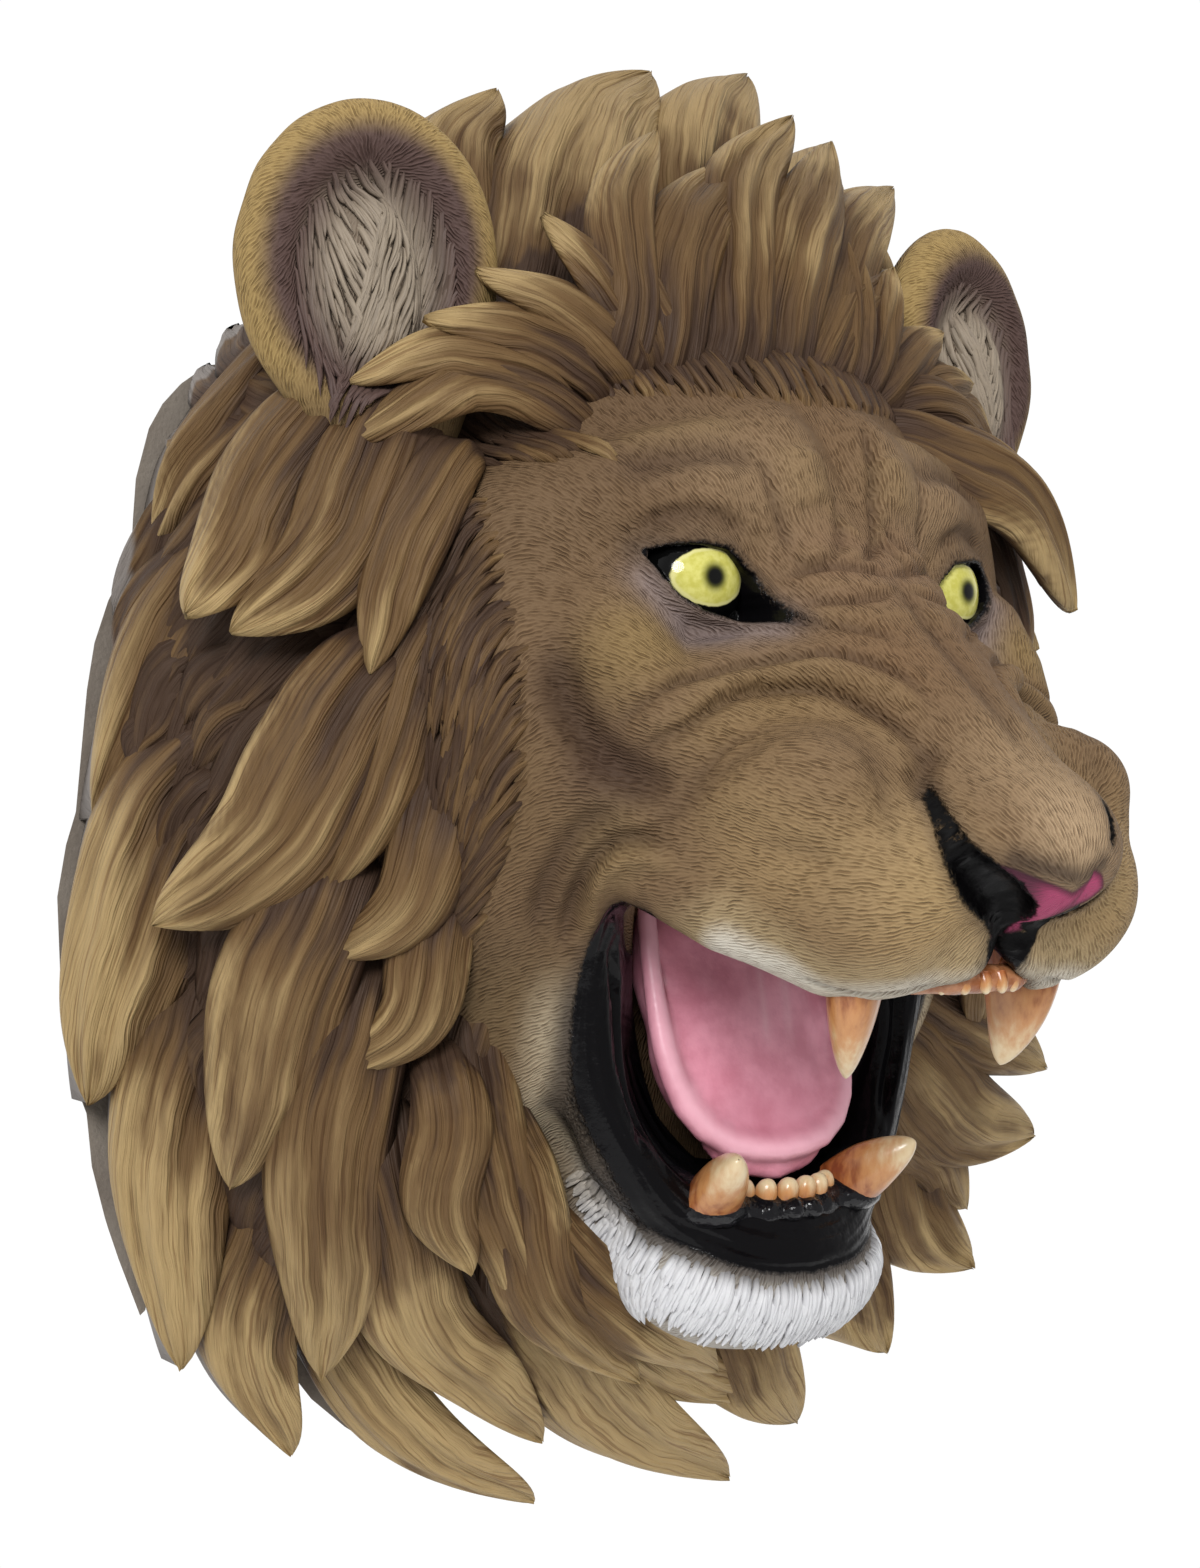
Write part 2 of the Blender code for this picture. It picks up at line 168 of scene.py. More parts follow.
# Paint on the near side of the nose, outlined across the photo's line of sight and in z
ACROSS = (0.788, 0.616)
NOSTRIL_OUTLINE = [(98.8, -0.4), (103.1, -8.2), (106.3, -14.5), (109.7, -17.6), (114, -19.3),
                   (118.5, -22), (121.5, -27), (120.3, -32), (117.4, -35.6), (114.9, -37.5),
                   (110.3, -30), (106.3, -23.2), (103.1, -19), (99.6, -13), (96.8, -3.5)]
PHILTRUM_OUTLINE = [(113, -36), (120.8, -34.6), (127.4, -34.3), (123.5, -41), (118.3, -48), (113, -48)]
PINK_OUTLINE = [(108, -16.8), (116.2, -19), (126, -22.7), (131.2, -24.7), (136.6, -20.7),
                (136.6, -22.4), (131.9, -28.6), (126, -32.7), (120.8, -35), (114, -37), (112, -28)]
FAR_PINK_OUTLINE = [(2, -19), (8, -20.6), (12, -24), (9, -27), (2, -30)]
PHILTRUM = ("limb", [(0, 207, -35, 2.4), (0, 201, -42, 2.6), (0, 194, -50, 3.0)])

# Eyes: outline of the opening in (x, z), and the eyeball
EYE_OUTLINE = [(57.5, 55.5), (52, 57), (46, 57.4), (38.5, 56.4), (32, 50.5), (27.5, 39.5),
               (36, 40), (45, 42), (51.5, 45.5), (55, 50)]
EYE_CENTRE = (41, 122, 49.5)
EYE_RADIUS = 15.0
LID_RISE = 1.3


def shape(p, what):
    """Distance to a row of the tables above."""
    return ball(p, *what[1:]) if what[0] == "ball" else limb(p, what[1])


def folded(points):
    """The places with x turned to the positive side."""
    q = np.array(points, dtype=np.float32)
    q[..., 0] = np.abs(q[..., 0])
    return q


def mouth_distance(q):
    """Distance to the space of the open mouth."""
    return np.minimum(shape(q, MOUTH_CUTS[0][0]), shape(q, MOUTH_CUTS[1][0]))


def eye_cut(q):
    """The opening between the lids, deeper at the outer corner than at the tear duct."""
    edge = outline_distance(q[..., 0], q[..., 2], EYE_OUTLINE)
    floor = 130 + (26 - q[..., 0]) * 0.45
    return np.maximum(edge, floor - q[..., 1]), edge


def head(p):
    """Distance to the head, in millimetres."""
    q = folded(p)
    d = None
    for what, blend in SKULL:
        s = shape(q, what)
        d = s if d is None else join(d, s, blend)
    for what, blend in MOUTH_CUTS:
        d = carve(d, shape(q, what), blend)
    cut, edge = eye_cut(q)
    front = smooth(q[..., 1], 100, 118)
    d = d - LID_RISE * front * np.exp(-((edge - 1.6) / 1.7) ** 2)
    d = carve(d, cut, 1.2)
    less = np.where(np.asarray(p)[..., 0] > 0, FAR_NOSTRIL_LESS, 0)
    d = carve(d, shape(q, NOSTRIL) + less, 1.6)
    d = carve(d, shape(np.asarray(p), FAR_SLIT), 0.8)
    return carve(d, shape(q, PHILTRUM), 2.5)


# Meshes from distance fields


def field_mesh(field, low, high, step, mirror=False):
    """Return points and quads of a field's skin. A mirrored field is given for x >= 0 only."""
    axes = [np.arange(a, b + step, step, dtype=np.float32) for a, b in zip(low, high)]
    cells = np.stack(np.meshgrid(*axes, indexing="ij"), -1)
    values = field(cells).astype(np.float32)
    if mirror:
        values = np.concatenate([values[:0:-1], values], 0)
        axes[0] = np.concatenate([-axes[0][:0:-1], axes[0]])
    grid = openvdb.FloatGrid(50.0)
    grid.copyFromArray(np.clip(values, -8, 8))
    points, quads = grid.convertToQuads(0.0)
    points = points * step + np.array([a[0] for a in axes])
    return points.astype(np.float32), quads[:, ::-1].astype(np.int64)


def slope_of(points, field, step=0.25):
    """Return a field's value and slope at points."""
    value = field(points)
    parts = []
    for axis in range(3):
        moved = points.copy()
        moved[:, axis] += step
        parts.append((field(moved) - value) / step)
    return value, np.stack(parts, -1)


def settle(points, field, rounds=2):
    """Pull points on to a field's skin, and return them with their outward directions."""
    for _ in range(rounds):
        value, slope = slope_of(points, field)
        size = np.maximum((slope ** 2).sum(-1), 0.1)
        points = points - slope * np.clip(value / size, -1.5, 1.5)[:, None]
    _, slope = slope_of(points, field)
    return points, slope / np.maximum(np.linalg.norm(slope, axis=-1), 1e-6)[:, None]


def refine(points, quads, wanted):
    """Split each wanted quad in four, and fit its neighbours to it."""
    corners = quads.shape[1]
    ends = np.stack([quads, np.roll(quads, -1, 1)], -1)
    ends = np.sort(ends, -1)
    keys = ends[..., 0] * (len(points) + 1) + ends[..., 1]
    split, inverse = np.unique(keys[wanted], return_inverse=True)
    inverse = inverse.reshape(-1, corners)
    first, second = split // (len(points) + 1), split % (len(points) + 1)
    middles = (points[first] + points[second]) / 2
    centres = points[quads[wanted]].mean(1)
    base, top = len(points), len(points) + len(middles)
    everything = np.concatenate([points, middles, centres])
    chosen = quads[wanted]
    hub = top + np.arange(len(chosen))
    faces = []
    for k in range(corners):
        faces.append(np.stack([chosen[:, k], base + inverse[:, k], hub,
                               base + inverse[:, k - 1]], -1))
    faces = np.concatenate(faces).tolist()
    rest = quads[~wanted]
    rest_keys = keys[~wanted]
    spot = np.searchsorted(split, rest_keys)
    spot = np.minimum(spot, len(split) - 1)
    shared = split[spot] == rest_keys
    for row, marks, places in zip(rest.tolist(), shared.tolist(), spot.tolist()):
        face = []
        for k in range(corners):
            face.append(row[k])
            if marks[k]:
                face.append(base + places[k])
        faces.append(face)
    return everything, faces


OUT_TO_WORLD = np.array([1, -1, 1])


def to_world(points):
    """Turn (x, out, z) in millimetres into world metres."""
    return np.asarray(points, dtype=np.float64) * OUT_TO_WORLD * MM


def make_piece(name, points, faces, material, values=None, vectors=None, colours=None):
    """Make a smooth mesh piece that rides on the body, with its named values on its points."""
    mesh = bpy.data.meshes.new(name)
    mesh.from_pydata(to_world(points).tolist(), [], faces if isinstance(faces, list)
                     else faces.tolist())
    for key, data in (values or {}).items():
        layer = mesh.attributes.new(key, "FLOAT", "POINT")
        layer.data.foreach_set("value", np.asarray(data, dtype=np.float32).ravel())
    for key, data in (vectors or {}).items():
        layer = mesh.attributes.new(key, "FLOAT_VECTOR", "POINT")
        layer.data.foreach_set("vector", np.asarray(data, dtype=np.float32).ravel())
    for key, data in (colours or {}).items():
        layer = mesh.color_attributes.new(key, "FLOAT_COLOR", "POINT")
        full = np.concatenate([data, np.ones((len(data), 1))], -1)
        layer.data.foreach_set("color", full.astype(np.float32).ravel())
    mesh.polygons.foreach_set("use_smooth", [True] * len(mesh.polygons))
    mesh.materials.append(material)
    mesh.update()
    piece = bpy.data.objects.new(name, mesh)
    bpy.context.scene.collection.objects.link(piece)
    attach(piece, BODY)
    return piece


# Colours are written as they look (sRGB 0-255)

PAINT_LEVEL = 0.78


def paint(red, green, blue):
    """Turn a colour as seen into the shader's linear values."""
    seen = np.array([red, green, blue]) / 255
    value = np.where(seen <= 0.04045, seen / 12.92, ((seen + 0.055) / 1.055) ** 2.4)
    return tuple(value * PAINT_LEVEL)


class Graph:
    """A material's nodes, written as nested calls."""

    def __init__(self, name):
        self.material = bpy.data.materials.new(name)
        self.material.use_nodes = True
        self.tree = self.material.node_tree
        self.shader = self.tree.nodes["Principled BSDF"]

    def put(self, socket, value):
        if isinstance(value, bpy.types.NodeSocket):
            self.tree.links.new(value, socket)
        elif isinstance(value, tuple) and len(value) == 3 and socket.type == "RGBA":
            socket.default_value = value + (1.0,)
        else:
            socket.default_value = value

    def node(self, kind, settings=None, inputs=None):
        made = self.tree.nodes.new(kind)
        for key, value in (settings or {}).items():
            setattr(made, key, value)
        for key, value in (inputs or {}).items():
            self.put(made.inputs[key], value)
        return made

    def stored(self, name, kind):
        return self.node("ShaderNodeAttribute", {"attribute_name": name}).outputs[kind]

    def value(self, name):
        return self.stored(name, "Fac")

    def colour(self, name):
        return self.stored(name, "Color")

    def vector(self, name):
        return self.stored(name, "Vector")

    def place(self):
        return self.node("ShaderNodeTexCoord").outputs["Object"]

    def math(self, what, a, b=0.0, c=0.0):
        made = self.node("ShaderNodeMath", {"operation": what}, {0: a, 1: b})
        self.put(made.inputs[2], c)
        return made.outputs[0]

    def rise(self, value, low, high, start=0.0, end=1.0):
        settings = {"interpolation_type": "SMOOTHSTEP"}
        inputs = {0: value, 1: low, 2: high, 3: start, 4: end}
        return self.node("ShaderNodeMapRange", settings, inputs).outputs[0]

    def mix(self, share, a, b, how="MIX"):
        settings = {"data_type": "RGBA", "blend_type": how}
        return self.node("ShaderNodeMix", settings, {0: share, 6: a, 7: b}).outputs[2]

    def axis(self, vector, index):
        return self.node("ShaderNodeSeparateXYZ", None, {0: vector}).outputs[index]

    def times(self, colour, tint):
        return self.mix(1.0, colour, tint, "MULTIPLY")

    def scaled(self, vector, scale):
        inputs = {0: vector, 1: scale}
        return self.node("ShaderNodeVectorMath", {"operation": "MULTIPLY"}, inputs).outputs[0]

    def noise(self, vector, scale, detail=3.0, rough=0.55):
        inputs = {"Vector": vector, "Scale": scale, "Detail": detail, "Roughness": rough}
        return self.node("ShaderNodeTexNoise", None, inputs).outputs["Fac"]

    def strokes(self, vector, scale, frequency, direction):
        """Carved strokes that run square to a direction; input 5 is the direction in space."""
        inputs = {"Vector": vector, "Scale": scale, "Frequency": frequency, "Anisotropy": 1.0,
                  5: direction}
        return self.node("ShaderNodeTexGabor", {"gabor_type": "3D"}, inputs).outputs["Value"]

    def bump(self, height, distance, strength=1.0):
        inputs = {"Height": height, "Distance": distance, "Strength": strength}
        return self.node("ShaderNodeBump", None, inputs).outputs[0]

    def finish(self, **inputs):
        names = {"colour": "Base Color", "rough": "Roughness", "normal": "Normal",
                 "coat": "Coat Weight", "coat_rough": "Coat Roughness",
                 "specular": "Specular IOR Level"}
        for key, value in inputs.items():
            self.put(self.shader.inputs[names[key]], value)
        return self.material


def fur_material():
    """Short carved fur on the face, with the painted black and pink parts."""
    g = Graph("face_fur")
    where = g.place()
    flow = g.vector("flow")
    bent = g.node("ShaderNodeTexNoise", None,
                  {"Vector": where, "Scale": 320.0, "Detail": 1.0}).outputs["Color"]
    shift = g.node("ShaderNodeVectorMath", {"operation": "MULTIPLY_ADD"},
                   {0: bent, 1: (0.0011, 0.0011, 0.0011), 2: where}).outputs[0]
    coarse = g.strokes(shift, 300.0, 3.0, flow)
    fine = g.strokes(shift, 470.0, 2.6, flow)
    strokes = g.math("MULTIPLY_ADD", coarse, 0.5, g.math("MULTIPLY", fine, 0.5))
    tint = g.colour("tint")
    groove = g.rise(strokes, 0.34, 0.56, 1.0, 0.0)
    lit = g.mix(g.rise(strokes, 0.50, 0.72, 0.0, 0.5), tint,
                g.times(tint, (1.5, 1.46, 1.4)))
    inked = g.mix(g.math("MULTIPLY", groove, 0.62), lit,
                  g.times(tint, (0.50, 0.40, 0.33)))
    ragged = g.math("MULTIPLY_ADD", g.math("SUBTRACT", g.noise(where, 900.0, 2.0), 0.5), 1.6,
                    g.value("black"))
    dark = g.rise(ragged, 0.7, -0.5)
    shade = g.rise(g.value("black"), 4.0, 0.0, 0.0, 0.35)
    shaded = g.mix(shade, inked, paint(58, 48, 44))
    pink = g.rise(g.value("pink"), 0.5, -0.5)
    leather = g.mix(g.noise(where, 400.0), paint(186, 84, 120), paint(166, 64, 102))
    leather = g.mix(g.rise(g.axis(where, 0), -0.004, -0.013, 0.0, 0.85), leather, paint(72, 44, 54))
    # Painted shade along the edge of the pink leather, where the pad overhangs it
    leather = g.mix(g.rise(g.value("pink"), -2.2, 0.0, 0.0, 0.8), leather, paint(60, 34, 44))
    nose = g.mix(pink, shaded, leather)
    colour = g.mix(dark, nose, g.mix(g.value("nose"), paint(13, 12, 14), paint(5, 4, 4)))
    wet = g.math("MAXIMUM", dark, g.math("MULTIPLY", pink, 0.6))
    lip_place = g.node("ShaderNodeCombineXYZ", None,
                       {0: g.math("MULTIPLY", g.value("lip"), 0.24),
                        1: g.math("MULTIPLY", g.noise(where, 24.0, 1.0), 2.0)}).outputs[0]
    on_lip = g.math("MULTIPLY", dark, g.math("SUBTRACT", 1.0, g.value("nose")))
    lip_folds = g.math("MULTIPLY", g.noise(lip_place, 1.0, 1.0), g.math("MULTIPLY", on_lip, 2.2))
    height = g.math("MULTIPLY_ADD", strokes, g.math("SUBTRACT", 1.0, wet),
                    g.math("MULTIPLY_ADD", g.noise(where, 350.0), 0.2, lip_folds))
    normal = g.bump(height, 0.0016, 0.9)
    shine = g.math("MULTIPLY", wet, g.math("SUBTRACT", 1.0, g.value("nose")))
    rough = g.rise(shine, 0.0, 1.0, 0.66, 0.22)
    return g.finish(colour=colour, rough=rough, normal=normal, specular=0.13)


def hair_material():
    """Engraved mane hair: fine lines along each lock, darker in the hollows (the paint's wash and
    painted shade), painted shade on top, bare at the back.
    """
    g = Graph("mane_hair")
    where = g.place()
    strand = g.vector("strand")
    waver = g.noise(g.scaled(strand, (0.05, 0.03, 7.0)), 1.0, 2.0)
    across = g.math("MULTIPLY_ADD", waver, 5.0, g.axis(strand, 0))
    combed = g.node("ShaderNodeCombineXYZ", None,
                    {0: across, 1: g.axis(strand, 1), 2: g.axis(strand, 2)}).outputs[0]
    lines = g.noise(g.scaled(combed, (1.05, 0.022, 13.0)), 1.0, 3.0, 0.6)
    broad = g.noise(g.scaled(combed, (0.28, 0.02, 5.0)), 1.0, 1.0)
    toned = g.math("MULTIPLY_ADD", g.value("tone"), 0.5, -0.62)
    # Painted shade and highlight, partly the paint's wash: darker where a lock is sunk or covered by
    # others, lighter where it stands out
    lit = g.math("ADD", g.math("MULTIPLY", g.value("relief"), 0.8),
                 g.math("MULTIPLY_ADD", broad, 0.8, toned))
    root = g.mix(g.noise(where, 40.0), paint(68, 51, 37), paint(82, 62, 50))
    low = g.mix(g.rise(lit, 0.16, 0.52), root, paint(114, 88, 57))
    body = g.mix(g.rise(lit, 0.48, 0.95), low, paint(184, 157, 110))
    groove = g.rise(lines, 0.34, 0.47, 1.0, 0.0)
    inked = g.mix(g.math("MULTIPLY", groove, 0.66), body,
                  g.times(body, (0.40, 0.29, 0.22)))
    # Painted shade: the mane is darker towards its top, where the locks face up and away from the
    # light
    inked = g.mix(g.rise(g.axis(where, 2), 0.09, 0.17, 0.0, 0.9), inked,
                  g.times(inked, (0.76, 0.75, 0.76)))
    inked = g.mix(g.rise(g.axis(where, 1), -0.0115, -0.0085), inked, paint(138, 130, 124))
    bumpy = g.math("MULTIPLY_ADD", lines, 1.0, g.math("MULTIPLY", broad, 1.4))
    normal = g.bump(bumpy, 0.0017, 0.9)
    return g.finish(colour=inked, rough=0.55, normal=normal, specular=0.16)


def white_fur_material():
    """White fur of the chin, grey towards the lip."""
    g = Graph("white_fur")
    where = g.place()
    lines = g.noise(g.scaled(g.vector("strand"), (1.6, 0.06, 9.0)), 1.0, 2.0)
    tint = g.colour("tint")
    inked = g.mix(g.rise(lines, 0.34, 0.5, 0.5, 0.0), tint,
                  g.times(tint, (0.62, 0.62, 0.64)))
    speckle = g.mix(g.rise(g.noise(where, 300.0), 0.4, 0.7, 0.0, 0.2), inked,
                    g.times(inked, (0.85, 0.85, 0.88)))
    return g.finish(colour=speckle, rough=0.6, normal=g.bump(lines, 0.0006, 0.8), specular=0.3)


def tongue_material():
    """Wet pink tongue, with mauve painted shade where it is hollow and towards the throat, and pale
    painted highlights.
    """
    g = Graph("tongue_pink")
    where = g.place()
    mottle = g.noise(where, 120.0, 4.0)
    base = g.mix(g.rise(mottle, 0.3, 0.7), paint(224, 140, 160), paint(246, 166, 186))
    # Painted shade: mauve where the tongue is hollow and towards the throat
    deep = g.mix(g.value("shade"), base, paint(168, 92, 112))
    # Painted highlights: pale on the rim and in two streaks near the middle
    pale = g.mix(g.value("edge"), deep, paint(252, 196, 210))
    normal = g.bump(g.noise(where, 700.0, 2.0), 0.0002, 0.5)
    return g.finish(colour=pale, rough=0.28, normal=normal, specular=0.45)


def tooth_material():
    """Ivory teeth, stained orange-brown at the root."""
    g = Graph("tooth_ivory")
    where = g.place()
    along = g.value("along")
    streak = g.noise(g.scaled(where, (1.0, 1.0, 0.35)), 420.0, 4.0)
    worn = g.math("MULTIPLY_ADD", g.math("SUBTRACT", streak, 0.5), 0.7, along)
    root = g.mix(g.rise(streak, 0.35, 0.65), paint(140, 72, 38), paint(178, 104, 56))
    body = g.mix(g.rise(worn, 0.15, 0.62), root, paint(200, 142, 88))
    colour = g.mix(g.rise(worn, 0.55, 1.0), body, paint(226, 204, 164))
    normal = g.bump(streak, 0.0003, 0.5)
    return g.finish(colour=colour, rough=0.28, normal=normal, specular=0.5, coat=0.2,
                    coat_rough=0.15)


def gum_material():
    """Glossy black gum."""
    g = Graph("black_gum")
    where = g.place()
    lumps = g.noise(where, 260.0, 3.0)
    colour = g.mix(lumps, paint(12, 12, 14), paint(26, 25, 29))
    return g.finish(colour=colour, rough=0.16, normal=g.bump(lumps, 0.0012, 0.8), specular=0.35)


def palate_material():
    """Orange-brown upper gum."""
    g = Graph("upper_gum")
    where = g.place()
    lumps = g.noise(where, 300.0, 3.0)
    colour = g.mix(g.rise(lumps, 0.35, 0.65), paint(150, 88, 48), paint(186, 128, 88))
    return g.finish(colour=colour, rough=0.3, normal=g.bump(lumps, 0.0008, 0.8))


def eye_material():
    """Yellow iris with a blurred pupil, black outside it."""
    g = Graph("eye_yellow")
    where = g.place()
    away = g.value("pupil")
    wobble = g.math("MULTIPLY_ADD", g.math("SUBTRACT", g.noise(where, 260.0, 2.0), 0.5), 1.2,
                    g.value("iris"))
    iris = g.mix(g.rise(g.noise(where, 500.0, 3.0), 0.3, 0.7), paint(202, 196, 92),
                 paint(222, 217, 124))
    halo = g.mix(g.rise(away, 2.0, 4.6), paint(96, 96, 36), iris)
    pupil = g.mix(g.rise(away, 1.5, 3.1), paint(8, 8, 7), halo)
    rim = g.mix(g.rise(wobble, 8.3, 9.1), pupil, paint(230, 224, 150))
    colour = g.mix(g.rise(wobble, 9.4, 9.9), rim, paint(8, 8, 8))
    return g.finish(colour=colour, rough=0.08, specular=0.3)


def nostril_material():
    """Deep matt black inside the nostrils."""
    g = Graph("nostril_black")
    grain = g.noise(g.place(), 500.0)
    colour = g.mix(grain, paint(4, 3, 4), paint(10, 9, 10))
    return g.finish(colour=colour, rough=0.35, normal=g.bump(grain, 0.0002), specular=0.08)


def back_material():
    """Bare cast resin, grey-brown and faintly pitted."""
    g = Graph("bare_resin")
    where = g.place()
    patches = g.noise(where, 30.0, 4.0)
    colour = g.mix(g.rise(patches, 0.3, 0.7), paint(128, 118, 108), paint(150, 141, 130))
    pits = g.noise(where, 600.0, 2.0)
    return g.finish(colour=colour, rough=0.75, normal=g.bump(pits, 0.0004, 0.7), specular=0.2)


def floor_material():
    """A plain pale ground."""
    g = Graph("pale_floor")
    soft = g.noise(g.place(), 3.0)
    return g.finish(colour=g.mix(soft, (0.86, 0.86, 0.86), (0.89, 0.89, 0.89)), rough=0.9)


class Airbrush:
    """Colours on points, sprayed on in layers."""

    def __init__(self, count, seen):
        self.colour = np.tile(np.array(paint(*seen)), (count, 1))

    def spray(self, share, seen):
        self.colour += (np.array(paint(*seen)) - self.colour) * share[:, None]


# Face skin

# Folds and creases: (x, out, z) places, half width, height above the skin (negative is a groove)
FOLDS = [
    ([(68, 134, 14), (60, 143, 22), (46, 151, 28.5), (36, 157, 30), (24, 166, 30), (17, 174, 26),
      (15, 182, 19)], 1.5, -2.1),
    ([(64, 140, 13), (56, 146, 19.5), (46, 151, 24.5), (36, 158, 26), (28, 166, 25.5),
      (20, 175, 21.5), (18, 182, 15)], 3.2, 1.9),
    ([(68, 137, 6), (63, 143, 12), (56, 146, 16), (44, 150, 21), (36, 158, 22), (31, 165, 21),
      (25, 172, 17), (22, 181, 11), (23, 188, 4)], 1.5, -2.3),
    ([(63, 145, 6), (56, 149, 11.5), (46, 156, 16.5), (37, 163, 17.5), (30, 171, 15),
      (26, 179, 8), (27, 187, 1)], 3.4, 1.5),
    ([(64, 150, -1), (59, 154, 5), (54, 158, 10), (48, 165, 12.5), (42, 171, 12)], 1.4, -1.4),
    ([(66, 138, -14), (61, 150, -3), (51, 162, 3), (41, 175, 2), (37, 187, -6), (38, 194, -15)],
     2.8, -1.0),
    ([(60, 152, -12), (55, 160, -5), (48, 171, -4), (44, 182, -11), (44, 188, -20)], 3.6, 1.0),
    ([(52, 167, -12), (48, 176, -14), (46, 184, -20)], 2.4, -0.7),
    ([(25, 142, 50), (19, 146, 52), (12, 151, 53.5), (5, 153, 52), (0, 154, 51)], 1.3, -1.8),
    ([(24, 143, 54), (17, 147, 57), (9, 150, 57), (3, 152, 55)], 2.4, 0.7),
    ([(24, 146, 48), (16, 153, 48.5), (7, 157, 48), (0, 158, 47.5)], 2.2, 0.6),
    ([(24, 148, 43.5), (16, 155, 43), (9, 158, 45), (2, 158, 48)], 1.2, -1.5),
    ([(25, 150, 41), (18, 158, 40), (9, 163, 40.5), (0, 164, 41)], 3.0, 0.6),
    ([(28, 146, 38.5), (26, 151, 37), (19, 160, 36), (11, 167, 34)], 1.4, -1.5),
    ([(24, 142, 56), (19, 146, 53), (13, 147, 56), (9, 146, 62), (7, 143, 68)], 1.6, -1.6),
    ([(2, 146, 60), (6, 144, 64), (10, 142, 70)], 1.6, 0.9),
    ([(27, 136, 80), (26, 139, 72), (24, 140, 64), (23, 141, 57)], 1.7, -1.6),
    ([(14, 138, 84), (15, 140, 76), (14, 142, 68)], 7.0, 1.9),
    ([(77, 120, 32), (78, 124, 20), (74, 130, 8), (68, 138, 1), (61, 146, 1)], 4.6, -4.4),
    ([(64, 104, -40), (68, 114, -28), (70, 124, -18), (68, 133, -13), (62, 143, -14)], 2.2, -2.9),
    ([(59, 106, -36), (66, 124, -22), (65, 136, -17), (60, 146, -20)], 2.4, 2.9),
    ([(71, 102, -36), (75, 114, -22), (74, 124, -11), (70, 134, -6)], 3.0, -2.5),
    ([(44, 169, -44), (40, 174, -46), (29, 182, -48), (18, 188, -48)], 1.2, -1.4),
    ([(50, 128, 39), (43, 133, 34), (35, 139, 33), (30, 143, 34)], 3.4, -1.0),
    ([(58, 126, 62), (50, 131, 65), (42, 136, 65), (32, 138, 60)], 2.0, -1.9),
    ([(62, 124, 76), (48, 130, 81), (36, 134, 82), (26, 134, 80)], 4.0, -2.3),
    ([(60, 120, 88), (44, 126, 92), (28, 128, 92)], 4.0, 1.7),
    ([(22, 190, 12), (27, 192, 6), (29, 196, 0)], 3.0, -2.7),
    ([(0, 150, 46), (0, 176, 22), (0, 198, 6)], 3.0, -1.4),
    ([(46, 92, -36), (44, 88, -56), (40, 88, -76), (33, 92, -94), (20, 99, -106)], 1.7, -3.1),
    ([(51, 98, -38), (48, 94, -56), (45, 93, -76), (37, 97, -95), (23, 104, -108)], 1.6, -2.7),
    ([(55, 103, -36), (51, 101, -52), (49, 101, -70), (42, 104, -92)], 1.6, -2.3),
]
MIDDLE_FOLDS = [
    ([(11, 132, 94), (9, 137, 82), (6, 141, 71), (3, 144, 61), (-2, 149, 57), (-9, 151, 54)],
     1.4, -2.3),
    ([(3, 144, 62), (6, 149, 56), (10, 152, 51)], 1.3, -1.9),
    ([(-6, 136, 84), (-6, 141, 72), (-8, 144, 64)], 1.4, -0.9),
]
LIP_OUTLINE = [(x, z) for x, z in rounded_path(
    [(61, -26), (60, -36), (60.5, -53), (59, -68), (55, -83), (47.5, -98), (39.5, -110), (29, -117),
     (16, -122), (0, -123.5)], 26)] + [(-20, -123.5), (-20, -52), (0, -52), (40, -42), (52, -31)]
UPPER_LIP_EDGE = [(0, 194, -49, 0), (16, 190, -51, 0), (30, 180, -50, 0), (42, 166, -46, 0),
                  (50, 152, -39, 0)]

# Paint on the face: centre, radius, colour as seen, strength; later rows cover earlier ones. Some rows
# are painted shade and a painted highlight.
FACE_PAINT = [
    ((0, 120, 108), 46, (120, 95, 69), 0.9),
    ((48, 118, 96), 40, (106, 84, 62), 0.8),
    ((78, 100, 60), 36, (112, 90, 66), 0.7),
    ((84, 96, 0), 34, (112, 90, 62), 0.8),
    ((80, 80, -50), 30, (84, 68, 48), 0.8),
    # painted shadow on the outer cheek below the eye
    ((74, 124, 22), 15, (92, 72, 56), 0.55),
    ((30, 138, 74), 24, (146, 121, 92), 0.8),
    # painted highlight on the cheekbone
    ((64, 132, 30), 15, (150, 126, 80), 0.75),
    # painted shade in the cheek hollow
    ((70, 130, 2), 13, (84, 64, 52), 0.7),
    ((10, 150, 52), 18, (134, 106, 82), 0.6),
    ((14, 168, 28), 22, (124, 97, 70), 0.8),
    ((40, 156, 6), 22, (138, 112, 76), 0.7),
    ((44, 168, -14), 24, (166, 139, 99), 0.85),
    ((28, 186, -26), 24, (184, 157, 112), 0.9),
    ((0, 204, 4), 22, (164, 138, 106), 0.7),
    ((0, 218, -12), 18, (186, 160, 128), 0.8),
    ((66, 128, -14), 14, (140, 118, 84), 0.7),
    ((66, 92, -56), 22, (116, 96, 68), 0.8),
    ((54, 92, -96), 22, (150, 138, 116), 0.8),
]
BASE_FACE = (124, 100, 74)


def near_line(points, line, width=1.0):
    """Distance to a line of places, and how far along it each point lies (0 to 1)."""
    best = np.full(len(points), 1e9, dtype=np.float32)
    share = np.zeros(len(points), dtype=np.float32)
    count = len(line) - 1
    for index in range(count):
        start = np.array(line[index][:3], dtype=np.float32)
        along = np.array(line[index + 1][:3], dtype=np.float32) - start
        step = np.clip((points - start) @ along / (along @ along), 0, 1)
        reach = np.linalg.norm(points - start - step[:, None] * along, axis=-1)
        closer = reach < best
        best[closer] = reach[closer]
        share[closer] = (index + step[closer]) / count
    return best / width, share


